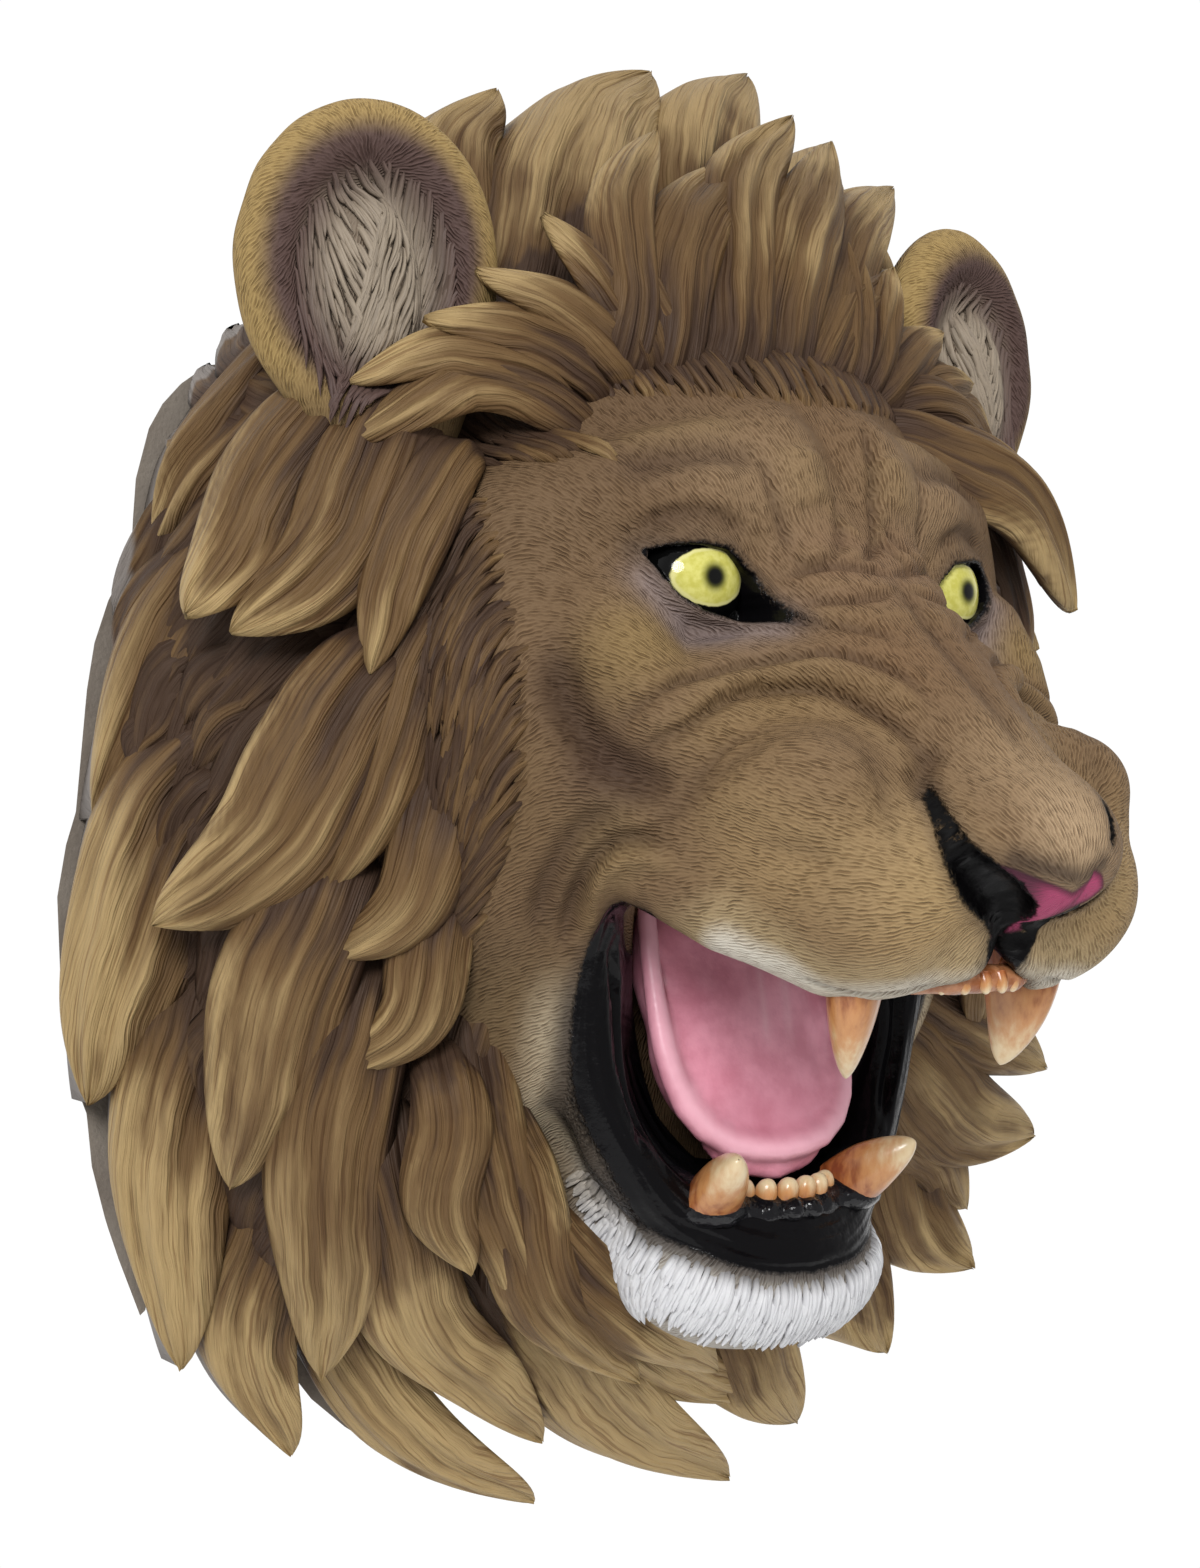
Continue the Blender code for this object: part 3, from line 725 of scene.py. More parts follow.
def wave(seed, *axes):
    """Smooth made-up unevenness, about -1 to 1, the same each run."""
    rng = np.random.default_rng(seed)
    total = 0
    for _ in range(5):
        turn = rng.uniform(-1, 1, len(axes))
        turn = turn / np.linalg.norm(turn) * rng.uniform(0.7, 1.5)
        total = total + np.sin(sum(t * a for t, a in zip(turn, axes)) + rng.uniform(0, 6.3))
    return total / 3


def fold_heights(points):
    """Height of the folds over the skin, and how far in a crease or on a ridge each point is."""
    q = folded(points)
    height = np.zeros(len(q), dtype=np.float32)
    crease = np.zeros(len(q), dtype=np.float32)
    raised = np.zeros(len(q), dtype=np.float32)
    folds = [(q, row) for row in FOLDS] + [(points, row) for row in MIDDLE_FOLDS]
    for places, (line, width, rise) in folds:
        line, _ = settle(rounded_path(line, 3 * len(line)), head, rounds=5)
        low = np.min(line, 0) - 4 * width
        high = np.max(line, 0) + 4 * width
        close = np.all((places > low) & (places < high), -1)
        away, share = near_line(places[close], line, width)
        lift = rise * np.exp(-away ** 2) * smooth(np.minimum(share, 1 - share), -0.06, 0.2)
        height[close] += lift
        crease[close] += np.maximum(-lift, 0)
        raised[close] += np.maximum(lift, 0)
    return height, crease, raised


def unit(vectors):
    """The vectors at a length of 1."""
    return vectors / np.maximum(np.linalg.norm(vectors, axis=-1), 1e-4)[..., None]


def along_skin(ahead, normals):
    """Lay directions flat on the skin."""
    return unit(ahead - normals * (ahead * normals).sum(-1)[:, None])


def flow_directions(points, normals):
    """Which way the fur lies: away from the nose, and down the cheeks."""
    away = points - np.array([0, 224, -30], dtype=np.float32)
    away /= np.linalg.norm(away, axis=-1)[:, None]
    side = smooth(np.abs(points[:, 0]), 70, 98) * smooth(points[:, 2], 112, 70)
    droop = np.array([0, -0.25, -1.0], dtype=np.float32)
    away = away * (1 - side[:, None]) + droop * side[:, None]
    away[:, 2] += 0.16 * wave(5, *(points.T / 16))
    return along_skin(away, normals)


# Soft lines of paint: grey-lilac under the eye, and the dark fold over it
FACE_LINES = [
    ([(56, 129, 47), (48, 134, 37), (38, 140, 34), (30, 145, 36)], 7.0, 0.7, (144, 132, 134)),
    ([(60, 126, 58), (52, 132, 63), (40, 139, 62), (30, 142, 52)], 3.5, 0.5, (88, 72, 58)),
]
# A line of painted shade under the nose pad, just above the pink leather
PAD_SHADE_LINE = [(-17, 211, -17), (-7, 215, -20), (1, 216, -22), (7, 215, -18)]


def face_colours(points, crease, raised):
    """Airbrushed colours of the face, with painted shade and highlights among them."""
    q = folded(points)
    brush = Airbrush(len(q), BASE_FACE)
    for centre, radius, seen, strength in FACE_PAINT:
        away = np.linalg.norm(q - np.array(centre), axis=-1) / radius
        brush.spray(strength * np.exp(-1.6 * away ** 3), seen)
    for line, width, strength, seen in FACE_LINES:
        away, _ = near_line(q, line, width)
        brush.spray(strength * np.exp(-away ** 2), seen)
    away, _ = near_line(q, UPPER_LIP_EDGE)
    rag = wave(8, *(q.T / 4)) * 2.0
    brush.spray(0.65 * smooth(away + rag, 22, 8), (184, 164, 126))
    brush.spray(0.95 * smooth(away + rag, 11, 3), (224, 218, 204))
    edge = outline_distance(q[:, 0], q[:, 2], LIP_OUTLINE)
    front = smooth(q[:, 1] + rag, 80, 90)
    jaw = smooth(q[:, 2], -60, -80) * front * (edge < 22)
    brush.spray(0.85 * jaw * smooth(q[:, 2], -80, -104), (196, 192, 184))
    near_lip = smooth(q[:, 2], -40, -62) * front * smooth(edge, 13, 5)
    brush.spray(0.75 * near_lip * (1 - smooth(q[:, 2], -88, -104)), (184, 170, 144))
    # Darker in the fold creases and lighter on their ridges: partly the paint's wash and dry-brushing,
    # partly painted shade and painted highlight
    brush.spray(0.66 * (1 - np.exp(-crease / 1.6)), (70, 52, 42))
    brush.spray(0.4 * (1 - np.exp(-raised / 1.4)), (150, 126, 88))
    # Painted shade along the underside of the nose pad
    away, _ = near_line(points, PAD_SHADE_LINE, 3.0)
    brush.spray(0.75 * np.exp(-away ** 2), (52, 42, 40))
    lip = black_distance(points)
    brush.spray(0.8 * smooth(lip, 6, 0.5) * smooth(q[:, 2], -34, -60), (58, 52, 50))
    return brush.colour


def black_distance(points):
    """Signed distance to the black painted parts, negative inside."""
    q = folded(points)
    d = mouth_distance(q) - np.where(q[:, 1] < 118, 4.0, 1.2)
    lips = outline_distance(q[:, 0], q[:, 2], LIP_OUTLINE)
    behind = 92 + 14 * smooth(q[:, 2], -96, -118) - q[:, 1]
    d = np.minimum(d, np.maximum(np.maximum(lips, behind), q[:, 1] - 134))
    eye = outline_distance(q[:, 0], q[:, 2], EYE_OUTLINE) - 0.9
    d = np.minimum(d, np.where(q[:, 1] > 100, eye, 50))
    across = points[:, :2] @ np.array(ACROSS)
    hollow = np.minimum(outline_distance(across, points[:, 2], NOSTRIL_OUTLINE),
                        shape(q, NOSTRIL) - 0.6)
    split = outline_distance(across, points[:, 2], PHILTRUM_OUTLINE)
    far_slit = np.minimum(shape(q, NOSTRIL) + FAR_NOSTRIL_LESS, shape(points, FAR_SLIT)) - 0.5
    nose = np.where(points[:, 0] > 8, far_slit, np.minimum(hollow, split))
    d = np.minimum(d, np.where(q[:, 1] > 182, nose, 50))
    return np.minimum(d, shape(q, PHILTRUM) - 1.8)


def pink_distance(points):
    """Signed distance to the pink nose leather."""
    near = outline_distance(points[:, :2] @ np.array(ACROSS), points[:, 2], PINK_OUTLINE)
    far = outline_distance(points[:, 0], points[:, 2], FAR_PINK_OUTLINE)
    return np.where(points[:, 1] > 182, np.where(points[:, 0] > 4, far, near), 50)


SKIN_LOW, SKIN_HIGH, SKIN_STEP = (0, 40, -152), (112, 226, 132), 2.4
FACE_BACK = 46


def skin_field(p):
    """The face as a closed body, cut off inside the mane."""
    return np.maximum(head(p), FACE_BACK - p[..., 1])


def add_face(material):
    """The face, finest where its folds are, with the nostrils in a black of their own."""
    points, quads = field_mesh(skin_field, SKIN_LOW, SKIN_HIGH, SKIN_STEP, mirror=True)
    centre = points[quads].mean(1)
    near = (np.abs(centre[:, 0]) < 78) & (centre[:, 1] > 108) & (centre[:, 2] < 96)
    near |= (np.abs(centre[:, 0]) < 64) & (centre[:, 1] > 84) & (centre[:, 2] < -14)
    points, faces = refine(points, quads, near)
    bulk = points[:, 1] > FACE_BACK + 1.5
    placed, normals = settle(points, head)
    points = np.where(bulk[:, None], placed, points)
    height, crease, raised = fold_heights(points)
    swell = 0.22 * wave(3, *(points.T / 8)) + 0.10 * wave(4, *(points.T / 2.6))
    clear = smooth(black_distance(points), 0, 4)
    points = points + normals * (height + swell * clear * bulk)[:, None]
    flow = np.cross(flow_directions(points, normals), normals) * OUT_TO_WORLD
    q = folded(points)
    nose = smooth(points[:, 1], 178, 186) * smooth(points[:, 2], -42, -37)
    values = {"black": black_distance(points), "pink": pink_distance(points), "nose": nose,
              "lip": outline_distance(q[:, 0], q[:, 2], LIP_OUTLINE)}
    made = make_piece("face", points, faces, material, values, {"flow": flow},
                      {"tint": face_colours(points, crease, raised)})
    made.data.materials.append(nostril_material())
    inside = (values["black"] < -0.5) & (nose > 0.5)
    count = len(made.data.polygons)
    corner = np.zeros(len(made.data.loops), dtype=np.int32)
    made.data.loops.foreach_get("vertex_index", corner)
    start = np.zeros(count, dtype=np.int32)
    made.data.polygons.foreach_get("loop_start", start)
    whole = np.minimum.reduceat(inside[corner].astype(np.int32), start)
    made.data.polygons.foreach_set("material_index", whole)
    return made, points, normals


# Eyes


def add_eye(name, side, material):
    """One glossy eyeball, looking forwards."""
    ball_mesh = bmesh.new()
    bmesh.ops.create_uvsphere(ball_mesh, u_segments=64, v_segments=48, radius=EYE_RADIUS)
    ball_mesh.verts.index_update()
    offset = np.array([(v.co.x, v.co.z, v.co.y) for v in ball_mesh.verts])
    faces = [[v.index for v in face.verts] for face in ball_mesh.faces]
    ball_mesh.free()
    points = offset + np.array(EYE_CENTRE) * np.array([side, 1, 1])
    gaze = unit(np.array([0.045 + side * 0.145, 1.0, 0.03]))
    ahead = offset @ gaze
    across = np.linalg.norm(offset - ahead[:, None] * gaze, axis=-1)
    upward = offset[:, 2] - ahead * gaze[2]
    oval = np.sqrt(0.86 * across ** 2 + upward ** 2)
    far = 2 * EYE_RADIUS
    make_piece(name, points, faces, material, {"iris": np.where(ahead > 0, oval, far),
                                               "pupil": np.where(ahead > 0, across, far)})


# Locks of hair


def leaf_width(step):
    """A lock's width from root (0) to tip (1), as a share of its widest."""
    swell = np.sin(np.pi * np.minimum(0.5, 0.20 + 0.30 * step / 0.55))
    point = np.maximum(0.0, 1 - (np.maximum(0.0, step - 0.45) / 0.55) ** 1.9) ** 0.72
    return np.maximum(0.03, swell * point)


# Locks face away from this place behind the wall; strands differ in size by a quarter
MANE_CORE = np.array([0, -80, 0])
STRAND_SPREAD = (0.75, 1.25)


class Hair:
    """Collects locks into one mesh."""

    def __init__(self):
        self.points, self.faces = [], []
        self.strand, self.tone = [], []
        self.count = 0

    def tube(self, loop):
        """Join rings of points into a closed tube."""
        rings, size = loop.shape[:2]
        start = self.count + np.arange(rings - 1)[:, None] * size
        first = start + np.arange(size)
        after = start + (np.arange(size) + 1) % size
        quads = np.stack([first, first + size, after + size, after], -1).reshape(-1, 4)
        self.faces += quads[:, ::-1].tolist()
        self.faces.append((self.count + np.arange(size)).tolist())
        self.faces.append((self.count + (rings - 1) * size + np.arange(size))[::-1].tolist())
        self.points.append(loop.reshape(-1, 3))
        self.count += rings * size

    def add(self, path, half, seed, rings=44, top=26, under=6, thick=0.42, to_wall=False,
            tone=(0.0, 1.0), sink=0.0, edge_height=1.2):
        """Add one closed leaf-shaped lock along a path of places."""
        rng = np.random.default_rng(seed)
        if sink:
            root = np.array(path[0], dtype=float)
            inward = unit(MANE_CORE - root)
            path = [root + 0.4 * (root - np.array(path[1])) + inward * sink] + list(path)
        centre = rounded_path(path, rings)
        along = np.gradient(centre, axis=0)
        reach = np.concatenate([[0], np.cumsum(np.linalg.norm(np.diff(centre, axis=0), axis=1))])
        along = unit(along)
        outward = along_skin(centre - MANE_CORE, along)
        side = np.cross(along, outward)
        step = np.linspace(0, 1, rings)
        half_now = half * leaf_width(step)
        swing = 0.2 * np.sin(np.pi * (1.5 * step + 0.25)) * (1 if seed % 2 else -1)
        wobble = half * (0.06 * wave(seed + 1, step * 9) + swing) * np.sin(np.pi * step)
        centre = centre + side * wobble[:, None]
        t = np.linspace(-1, 1, top)
        grid_t, grid_s = np.meshgrid(t, step)
        crown = (1 - np.abs(grid_t) ** 2.4) ** 0.72
        tall = (thick * half_now + 0.4 + 0.5 * edge_height)[:, None] * crown
        bend = grid_t + 0.25 * np.sin(2.2 * grid_s + seed)
        ribs = np.cos(math.pi * (2.3 + rng.uniform(-0.5, 0.9)) * bend + rng.uniform(0, 6))
        ribs = ribs + 0.5 * wave(seed + 2, bend * 7, grid_s * 2)
        fade = smooth(grid_s, 0.0, 0.15) * (1 - 0.5 * smooth(grid_s, 0.7, 1.0))
        heights = tall + 0.075 * half * ribs * (1 - grid_t ** 4) * fade
        edge = (0.14 * half_now + edge_height)[:, None]
        rim_t = np.linspace(1, -1, under + 2)[1:-1]
        top_points = (centre[:, None] + side[:, None] * (half_now[:, None] * t)[..., None]
                      + outward[:, None] * heights[..., None])
        low = -(edge + 0.10 * half_now[:, None] * (1 - np.abs(rim_t) ** 2))
        low_points = (centre[:, None] + side[:, None] * (half_now[:, None] * rim_t)[..., None]
                      + outward[:, None] * low[..., None])
        if to_wall:
            low_points[..., 1] = 0.0
            top_points[..., 1] = np.maximum(top_points[..., 1], 1.0)
        self.tube(np.concatenate([top_points, low_points], 1))
        across = np.concatenate([t, rim_t])
        strand = np.zeros((rings, len(across), 3))
        strand[..., 0] = half * across * (0.35 + 0.65 * leaf_width(step)[:, None])
        strand[..., 1] = reach[:, None]
        strand[..., 2] = (seed % 97) + 0.37
        self.strand.append(strand.reshape(-1, 3))
        self.tone.append(np.repeat(tone[0] + (tone[1] - tone[0]) * step, len(across)))

    def gathered(self):
        return np.concatenate(self.points), self.faces


def face_up(points, faces):
    """Turn all faces over where the mesh's volume comes out negative."""
    p = to_world(points)
    total = 0.0
    for face in faces[:: max(1, len(faces) // 4000)]:
        a, b, c = p[face[0]], p[face[1]], p[face[2]]
        total += float(np.dot(a, np.cross(b, c)))
    return faces if total > 0 else [list(reversed(face)) for face in faces]


def both(rows):
    """The rows, and their mirror images."""
    out = []
    for row in rows:
        *places, half = row
        out.append(row)
        out.append(tuple((-x, o, z) for x, o, z in places) + (half,))
    return out


# Rim locks: places from root to tip, then the half width
RIM_LOCKS = both([
    ((-98, 44, 104), (-118, 30, 82), (-126, 15, 61), 17),
    ((-111, 44, 60), (-130, 26, 28), (-142, 12, -9), 17),
    ((-117, 44, 8), (-141, 24, -36), (-144, 12, -81), 19),
    ((-66, 52, 128), (-52, 40, 162), (-30, 30, 189), 15),
    ((-78, 50, 112), (-80, 38, 138), (-76, 26, 158), 13),
]) + [
    ((-120, 38, -48), (-128, 22, -100), (-118, 13, -151), 16),
    ((-104, 36, -98), (-102, 20, -140), (-84, 12, -178), 15),
    ((-84, 30, -132), (-54, 20, -174), (-4, 12, -203), 13),
    ((-62, 62, -116), (-6, 40, -166), (66, 15, -206), 17),
    ((-50, 72, 122), (-20, 54, 164), (22, 32, 201), 21),
    ((80, 56, -84), (110, 48, -124), (139, 44, -148), 17),
    ((66, 54, -118), (90, 42, -149), (112, 34, -172), 15),
    ((32, 48, -144), (60, 38, -170), (82, 27, -190), 15),
    ((6, 66, 136), (30, 50, 178), (58, 32, 206), 18),
    ((42, 62, 128), (66, 46, 162), (88, 32, 190), 17),
    ((70, 56, 112), (94, 44, 146), (106, 30, 170), 17),
]
TOP_LOCKS = both([
    ((-109, 68, 89), (-126, 60, 62), (-146, 64, 40), 15),
    ((-98, 82, 86), (-114, 80, 58), (-136, 68, 36), 14),
    ((-110, 88, 22), (-128, 74, -11), (-147, 50, -34), 16),
    ((-116, 78, -30), (-124, 62, -67), (-123, 46, -100), 16),
    ((-90, 94, 76), (-106, 92, 50), (-112, 92, 26), 9),
    ((-96, 94, 34), (-110, 88, -2), (-118, 82, -26), 11),
    ((-90, 96, 0), (-102, 92, -28), (-115, 80, -42), 10),
    ((-90, 90, -30), (-97, 88, -54), (-108, 76, -70), 10),
    ((-58, 100, 90), (-84, 92, 99), (-112, 82, 82), 9),
    ((-64, 98, 98), (-88, 90, 106), (-110, 80, 97), 8),
    ((-52, 101, 101), (-72, 96, 112), (-94, 88, 113), 8),
    ((-44, 103, 104), (-60, 98, 119), (-80, 90, 126), 8),
    ((-38, 104, 107), (-48, 99, 127), (-60, 91, 142), 8),
    ((-32, 105, 108), (-38, 99, 131), (-42, 90, 150), 8),
]) + [
    ((-104, 76, -62), (-104, 58, -111), (-90, 36, -153), 15),
    ((-88, 88, -78), (-84, 84, -102), (-74, 80, -122), 10),
    ((-76, 84, -66), (-70, 84, -104), (-52, 76, -140), 11),
    ((-68, 84, -92), (-52, 82, -128), (-14, 72, -158), 11),
    ((-54, 84, -112), (-24, 84, -140), (18, 66, -160), 10),
    ((-70, 84, -44), (-76, 84, -72), (-72, 82, -98), 9),
    ((60, 106, 94), (88, 110, 76), (117, 106, 49), 10),
    ((64, 102, 99), (94, 102, 84), (116, 96, 57), 8),
    ((54, 108, 92), (85, 113, 77), (114, 108, 49), 16),
    ((60, 106, 104), (84, 98, 98), (106, 90, 76), 8),
    ((-91, 70, -103), (-66, 52, -144), (-22, 40, -178), 14),
    ((-48, 72, -126), (0, 56, -151), (56, 32, -179), 13),
    ((-46, 104, 114), (-36, 94, 146), (-15, 80, 171), 9),
    ((-30, 106, 112), (-16, 94, 145), (18, 74, 168), 11),
    ((-14, 108, 108), (4, 92, 150), (40, 72, 184), 12),
    ((4, 106, 104), (20, 96, 144), (54, 72, 179), 12),
    ((14, 104, 108), (46, 88, 146), (84, 66, 171), 13),
    ((18, 106, 108), (36, 98, 130), (62, 86, 142), 9),
    ((74, 82, -56), (112, 74, -74), (152, 62, -86), 12),
    ((68, 78, -74), (108, 68, -95), (153, 56, -107), 16),
    ((70, 70, -88), (106, 58, -110), (134, 46, -129), 12),
]


def big_locks(rows, seed, sink, to_wall=False):
    """One layer of the mane's big locks."""
    hair = Hair()
    for index, (*path, half) in enumerate(rows):
        hair.add(path, 1.1 * half, seed + 7 * index, to_wall=to_wall, sink=sink)
    return hair


def scatter(points, normals, wanted, gap, seed):
    """Pick wanted points about a gap apart."""
    rng = np.random.default_rng(seed)
    chosen = rng.permutation(np.flatnonzero(wanted))
    cells = np.floor(points[chosen] / gap + rng.uniform(0, 1, 3)).astype(int)
    _, first = np.unique(cells, axis=0, return_index=True)
    picked = chosen[np.sort(first)]
    return points[picked], normals[picked]


def grow(hair, starts, normals, flow, length, half, lift, seed, steps=7, rings=8, top=5,
         under=1, thick=0.6, tone=(0.1, 0.8), edge_height=0.3, bury=1.2, field=head):
    """Grow strands from the head along a flow, each rising from its root to its tip."""
    rng = np.random.default_rng(seed)
    count = len(starts)
    reach = length * rng.uniform(*STRAND_SPREAD, count)
    spot, up = starts, normals
    paths = [spot - up * bury]
    for index in range(steps):
        ahead = flow(spot, up)
        moved = spot + ahead * (reach / steps)[:, None]
        spot, up = settle(moved, field, rounds=1)
        share = (index + 1) / steps
        paths.append(spot + up * (lift * share ** 1.3 + 0.2))
    paths = np.stack(paths, 1)
    halves = half * rng.uniform(*STRAND_SPREAD, count)
    for index in range(count):
        hair.add(list(paths[index]), halves[index], seed + index, rings=rings, top=top,
                 under=under, thick=thick, tone=tone, edge_height=edge_height)


def mane_flow(points, normals):
    """Which way the mane hair lies: outwards from the face, and down at the sides."""
    x, _, z = points.T
    ahead = np.stack([x / 110 + 0.12, -0.35 + 0 * x, z / 120 - 0.9 * smooth(z, 120, 30)], -1)
    return along_skin(ahead, normals)


def base_field(p):
    """What lies under the locks, deeper below the face than at the wall."""
    inset = 2.5 + 7 * smooth(p[..., 1], 58, 82)
    return np.maximum(head(p) + inset, -p[..., 1])


# Ears

EAR_CENTRES = {-1: np.array([101.5, 76, 127.5]), 1: np.array([103.5, 76, 120])}
EAR_TURNS = {-1: math.radians(22), 1: math.radians(9)}


def ear_place(local, side):
    """Turn ear coordinates (across outwards, forwards, up) into places on the head."""
    across, forward, up = local[..., 0], local[..., 1], local[..., 2]
    centre = EAR_CENTRES[side]
    turn = EAR_TURNS[side]
    x = centre[0] + across * math.cos(turn) + forward * math.sin(turn)
    out = centre[1] - across * math.sin(turn) + forward * math.cos(turn)
    return np.stack([side * x, out, centre[2] + up], -1)


def ear_field(p):
    """Distance to an ear, in its own coordinates."""
    d = ball(p, (0, -4, 0), (33, 15, 41))
    d = join(d, limb(p, [(-6, -6, -26, 20), (-4, -14, -44, 20)]), 10)
    d = carve(d, ball(p, (-1, 10, -3), (22, 17, 31)), 7)
    d = join(d, ball(p, (2, -2, -8), (13, 8, 24)), 5)
    return carve(d, limb(p, [(-4, 8, 14, 1.5), (-2, 7, 0, 1.6), (-7, 5, -20, 1.2)]), 3)


def add_ear(name, side, material):
    """One ear: furred rim, a dark ring of painted shade inside the rim and a pale hollow."""
    points, quads = field_mesh(ear_field, (-42, -34, -62), (42, 22, 48), 1.5)
    points, normals = settle(points, ear_field)
    p = points
    points = points + normals * 0.25 * wave(21, *(p.T / 3.5))[:, None]
    ring = np.hypot(p[:, 0] / 33, p[:, 2] / 41)
    front = smooth(normals[:, 1], -0.4, 0.2)
    brush = Airbrush(len(p), (168, 142, 92))
    brush.spray((1 - front) * 0.8, (104, 84, 64))
    # Painted shade: a dark ring just inside the rim
    brush.spray(front * smooth(ring, 0.92, 0.72) * 0.95, (84, 66, 66))
    brush.spray(front * smooth(ring, 0.62, 0.42), (142, 128, 112))
    brush.spray(smooth(p[:, 2], -22, -44) * 0.7, (98, 78, 62))
    radial = np.stack([p[:, 0], 0.3 * p[:, 1], p[:, 2]], -1)
    radial[:, 2] -= 20
    radial = unit(np.cross(radial, normals))
    flow = (ear_place(radial, side) - ear_place(np.zeros(3), side)) * OUT_TO_WORLD
    placed = ear_place(points, side)
    faces = face_up(placed, quads.tolist())
    far = np.full(len(p), 50.0)
    bare = {"black": far, "pink": far, "lip": far, "nose": 0 * far}
    return make_piece(name, placed, faces, material, bare,
                      {"flow": flow}, {"tint": brush.colour})


def ear_flow(points, normals):
    """The fur inside the ear lies towards the groove down its middle."""
    x, _, z = points.T
    groove = 2 - 0.25 * (z + 3)
    ahead = np.stack([np.where(x > groove, -0.35, 0.4), 0 * x, -1.0 + 0 * x], -1)
    ahead[:, 0] += 0.35 * wave(51, *(points.T / 7))
    return along_skin(ahead, normals)


def add_ear_fur(name, side, material):
    """Pale strands inside the ear, with painted shade towards its rim."""
    hair = Hair()
    points, _ = field_mesh(ear_field, (-42, -34, -62), (42, 22, 48), 1.5)
    points, normals = settle(points, ear_field)
    x, forward, z = points.T
    ring = np.hypot((x + 1) / 22, (z + 3) / 31)
    wanted = (normals[:, 1] > 0.1) & (forward > -16) & (ring < 0.92) & (z > -34)
    starts, up = scatter(points, normals, wanted, 2.9, 71)
    grow(hair, starts, up, ear_flow, 15, 0.9, 1.2, 12000, top=4, thick=0.7, field=ear_field)
    local, faces = hair.gathered()
    ring = np.hypot((local[:, 0] + 1) / 22, (local[:, 2] + 3) / 31)[:, None]
    # Painted shade: the strands darken towards the ear's rim
    rim = smooth(ring, 0.45, 0.95)
    tint = np.array(paint(158, 144, 126)) * (1 - rim) + np.array(paint(92, 72, 66)) * rim
    placed = ear_place(local, side)
    make_piece(name, placed, face_up(placed, faces), material,
               vectors={"strand": np.concatenate(hair.strand)}, colours={"tint": tint})


# Mouth

TONGUE_RIM = curve([(30, 94, -12, 2.0), (31, 96, -32, 2.2), (31, 99, -52, 2.3),
                    (30, 103, -70, 2.4), (25.5, 107.5, -84, 2.6), (15, 111, -92, 2.8),
                    (0, 112.5, -94, 3.0)], 14)
TONGUE_ROLL = curve([(19, 106, -92, 1.2), (13, 108, -96.5, 2.4), (0, 110, -99, 2.8)], 8)


def tongue_field(p):
    """Distance to the tongue: a hollow body, a raised rim and a rolled tip."""
    q = folded(p)
    d = ball(q, (0, 82, -16), (28, 14, 16))
    d = join(d, ball(q, (0, 88, -44), (28, 14, 28)), 8)
    d = join(d, ball(q, (0, 95, -67), (27.5, 13, 22)), 8)
    d = join(d, ball(q, (0, 101, -80), (23, 12, 13)), 8)
    d = carve(d, ball(q, (0, 124, -54), (25, 16, 38)), 14)
    d = join(d, limb(q, TONGUE_RIM), 9)
    d = carve(d, limb(q, [(0, 99, -24, 0.5), (0, 103.5, -46, 0.7), (0, 108, -66, 0.3)]), 4)
    return join(d, limb(q, TONGUE_ROLL), 2.5)


def add_tongue(material):
    """The tongue, with its painted shade marked near the tip and towards the throat, and its painted
    highlights on the rim and in two streaks.
    """
    points, quads = field_mesh(tongue_field, (0, 60, -112), (40, 124, 4), 1.4, mirror=True)
    points, _ = settle(points, tongue_field)
    q = folded(points)
    # Painted shade: low across the middle above the tip, and towards the throat
    low = np.exp(-((q[:, 2] + 84) / 9) ** 2) * smooth(q[:, 0], 26, 10)
    top = smooth(q[:, 2], -44, -18)
    shade = np.clip(0.4 * low + 0.75 * top, 0, 1)
    # Painted highlights: along the rim and in two streaks near the middle
    rim = [(x, out + 2.5, z) for x, out, z, _ in TONGUE_RIM]
    away, _ = near_line(q, rim, 3.0)
    height = smooth(points[:, 2], -70, -62) * smooth(points[:, 2], -42, -50)
    streak = 0.5 * height * np.maximum(np.exp(-((points[:, 0] - 2) / 1.2) ** 2),
                                       0.8 * np.exp(-((points[:, 0] - 10) / 1.4) ** 2))
    faces = face_up(points, quads.tolist())
    return make_piece("tongue", points, faces, material,
                      {"shade": shade, "edge": np.maximum(0.7 * np.exp(-away ** 2), streak)})


def add_tooth(teeth, path, half, flat, seed, twist=0.0, blunt=0.62, power=1.8):
    """A pointed tooth: a rounded cone along a path."""
    rings, sides = 26, 24
    step = np.sin(np.linspace(0, np.pi / 2, rings))
    centre = rounded_path(path, 60)
    centre = np.stack([np.interp(step, np.linspace(0, 1, 60), axis) for axis in centre.T], -1)
    along = np.gradient(centre, axis=0)
    along[-1] = along[-2]
    along = unit(along)
    side = along_skin(np.array([math.cos(twist), math.sin(twist), 0]), along)
    other = np.cross(along, side)
    radius = half * (1 - step ** power) ** blunt
    radius = np.maximum(radius, 0.02 * half)
    turn = np.linspace(0, 2 * np.pi, sides, endpoint=False)
    ridge = 1 + 0.05 * np.cos(3 * turn + seed)
    ring = (side[:, None] * np.cos(turn)[None, :, None]
            + other[:, None] * (flat * np.sin(turn))[None, :, None])
    teeth.tube(centre[:, None] + ring * (radius[:, None] * ridge)[..., None])
    teeth.tone.append(np.repeat(step, sides))


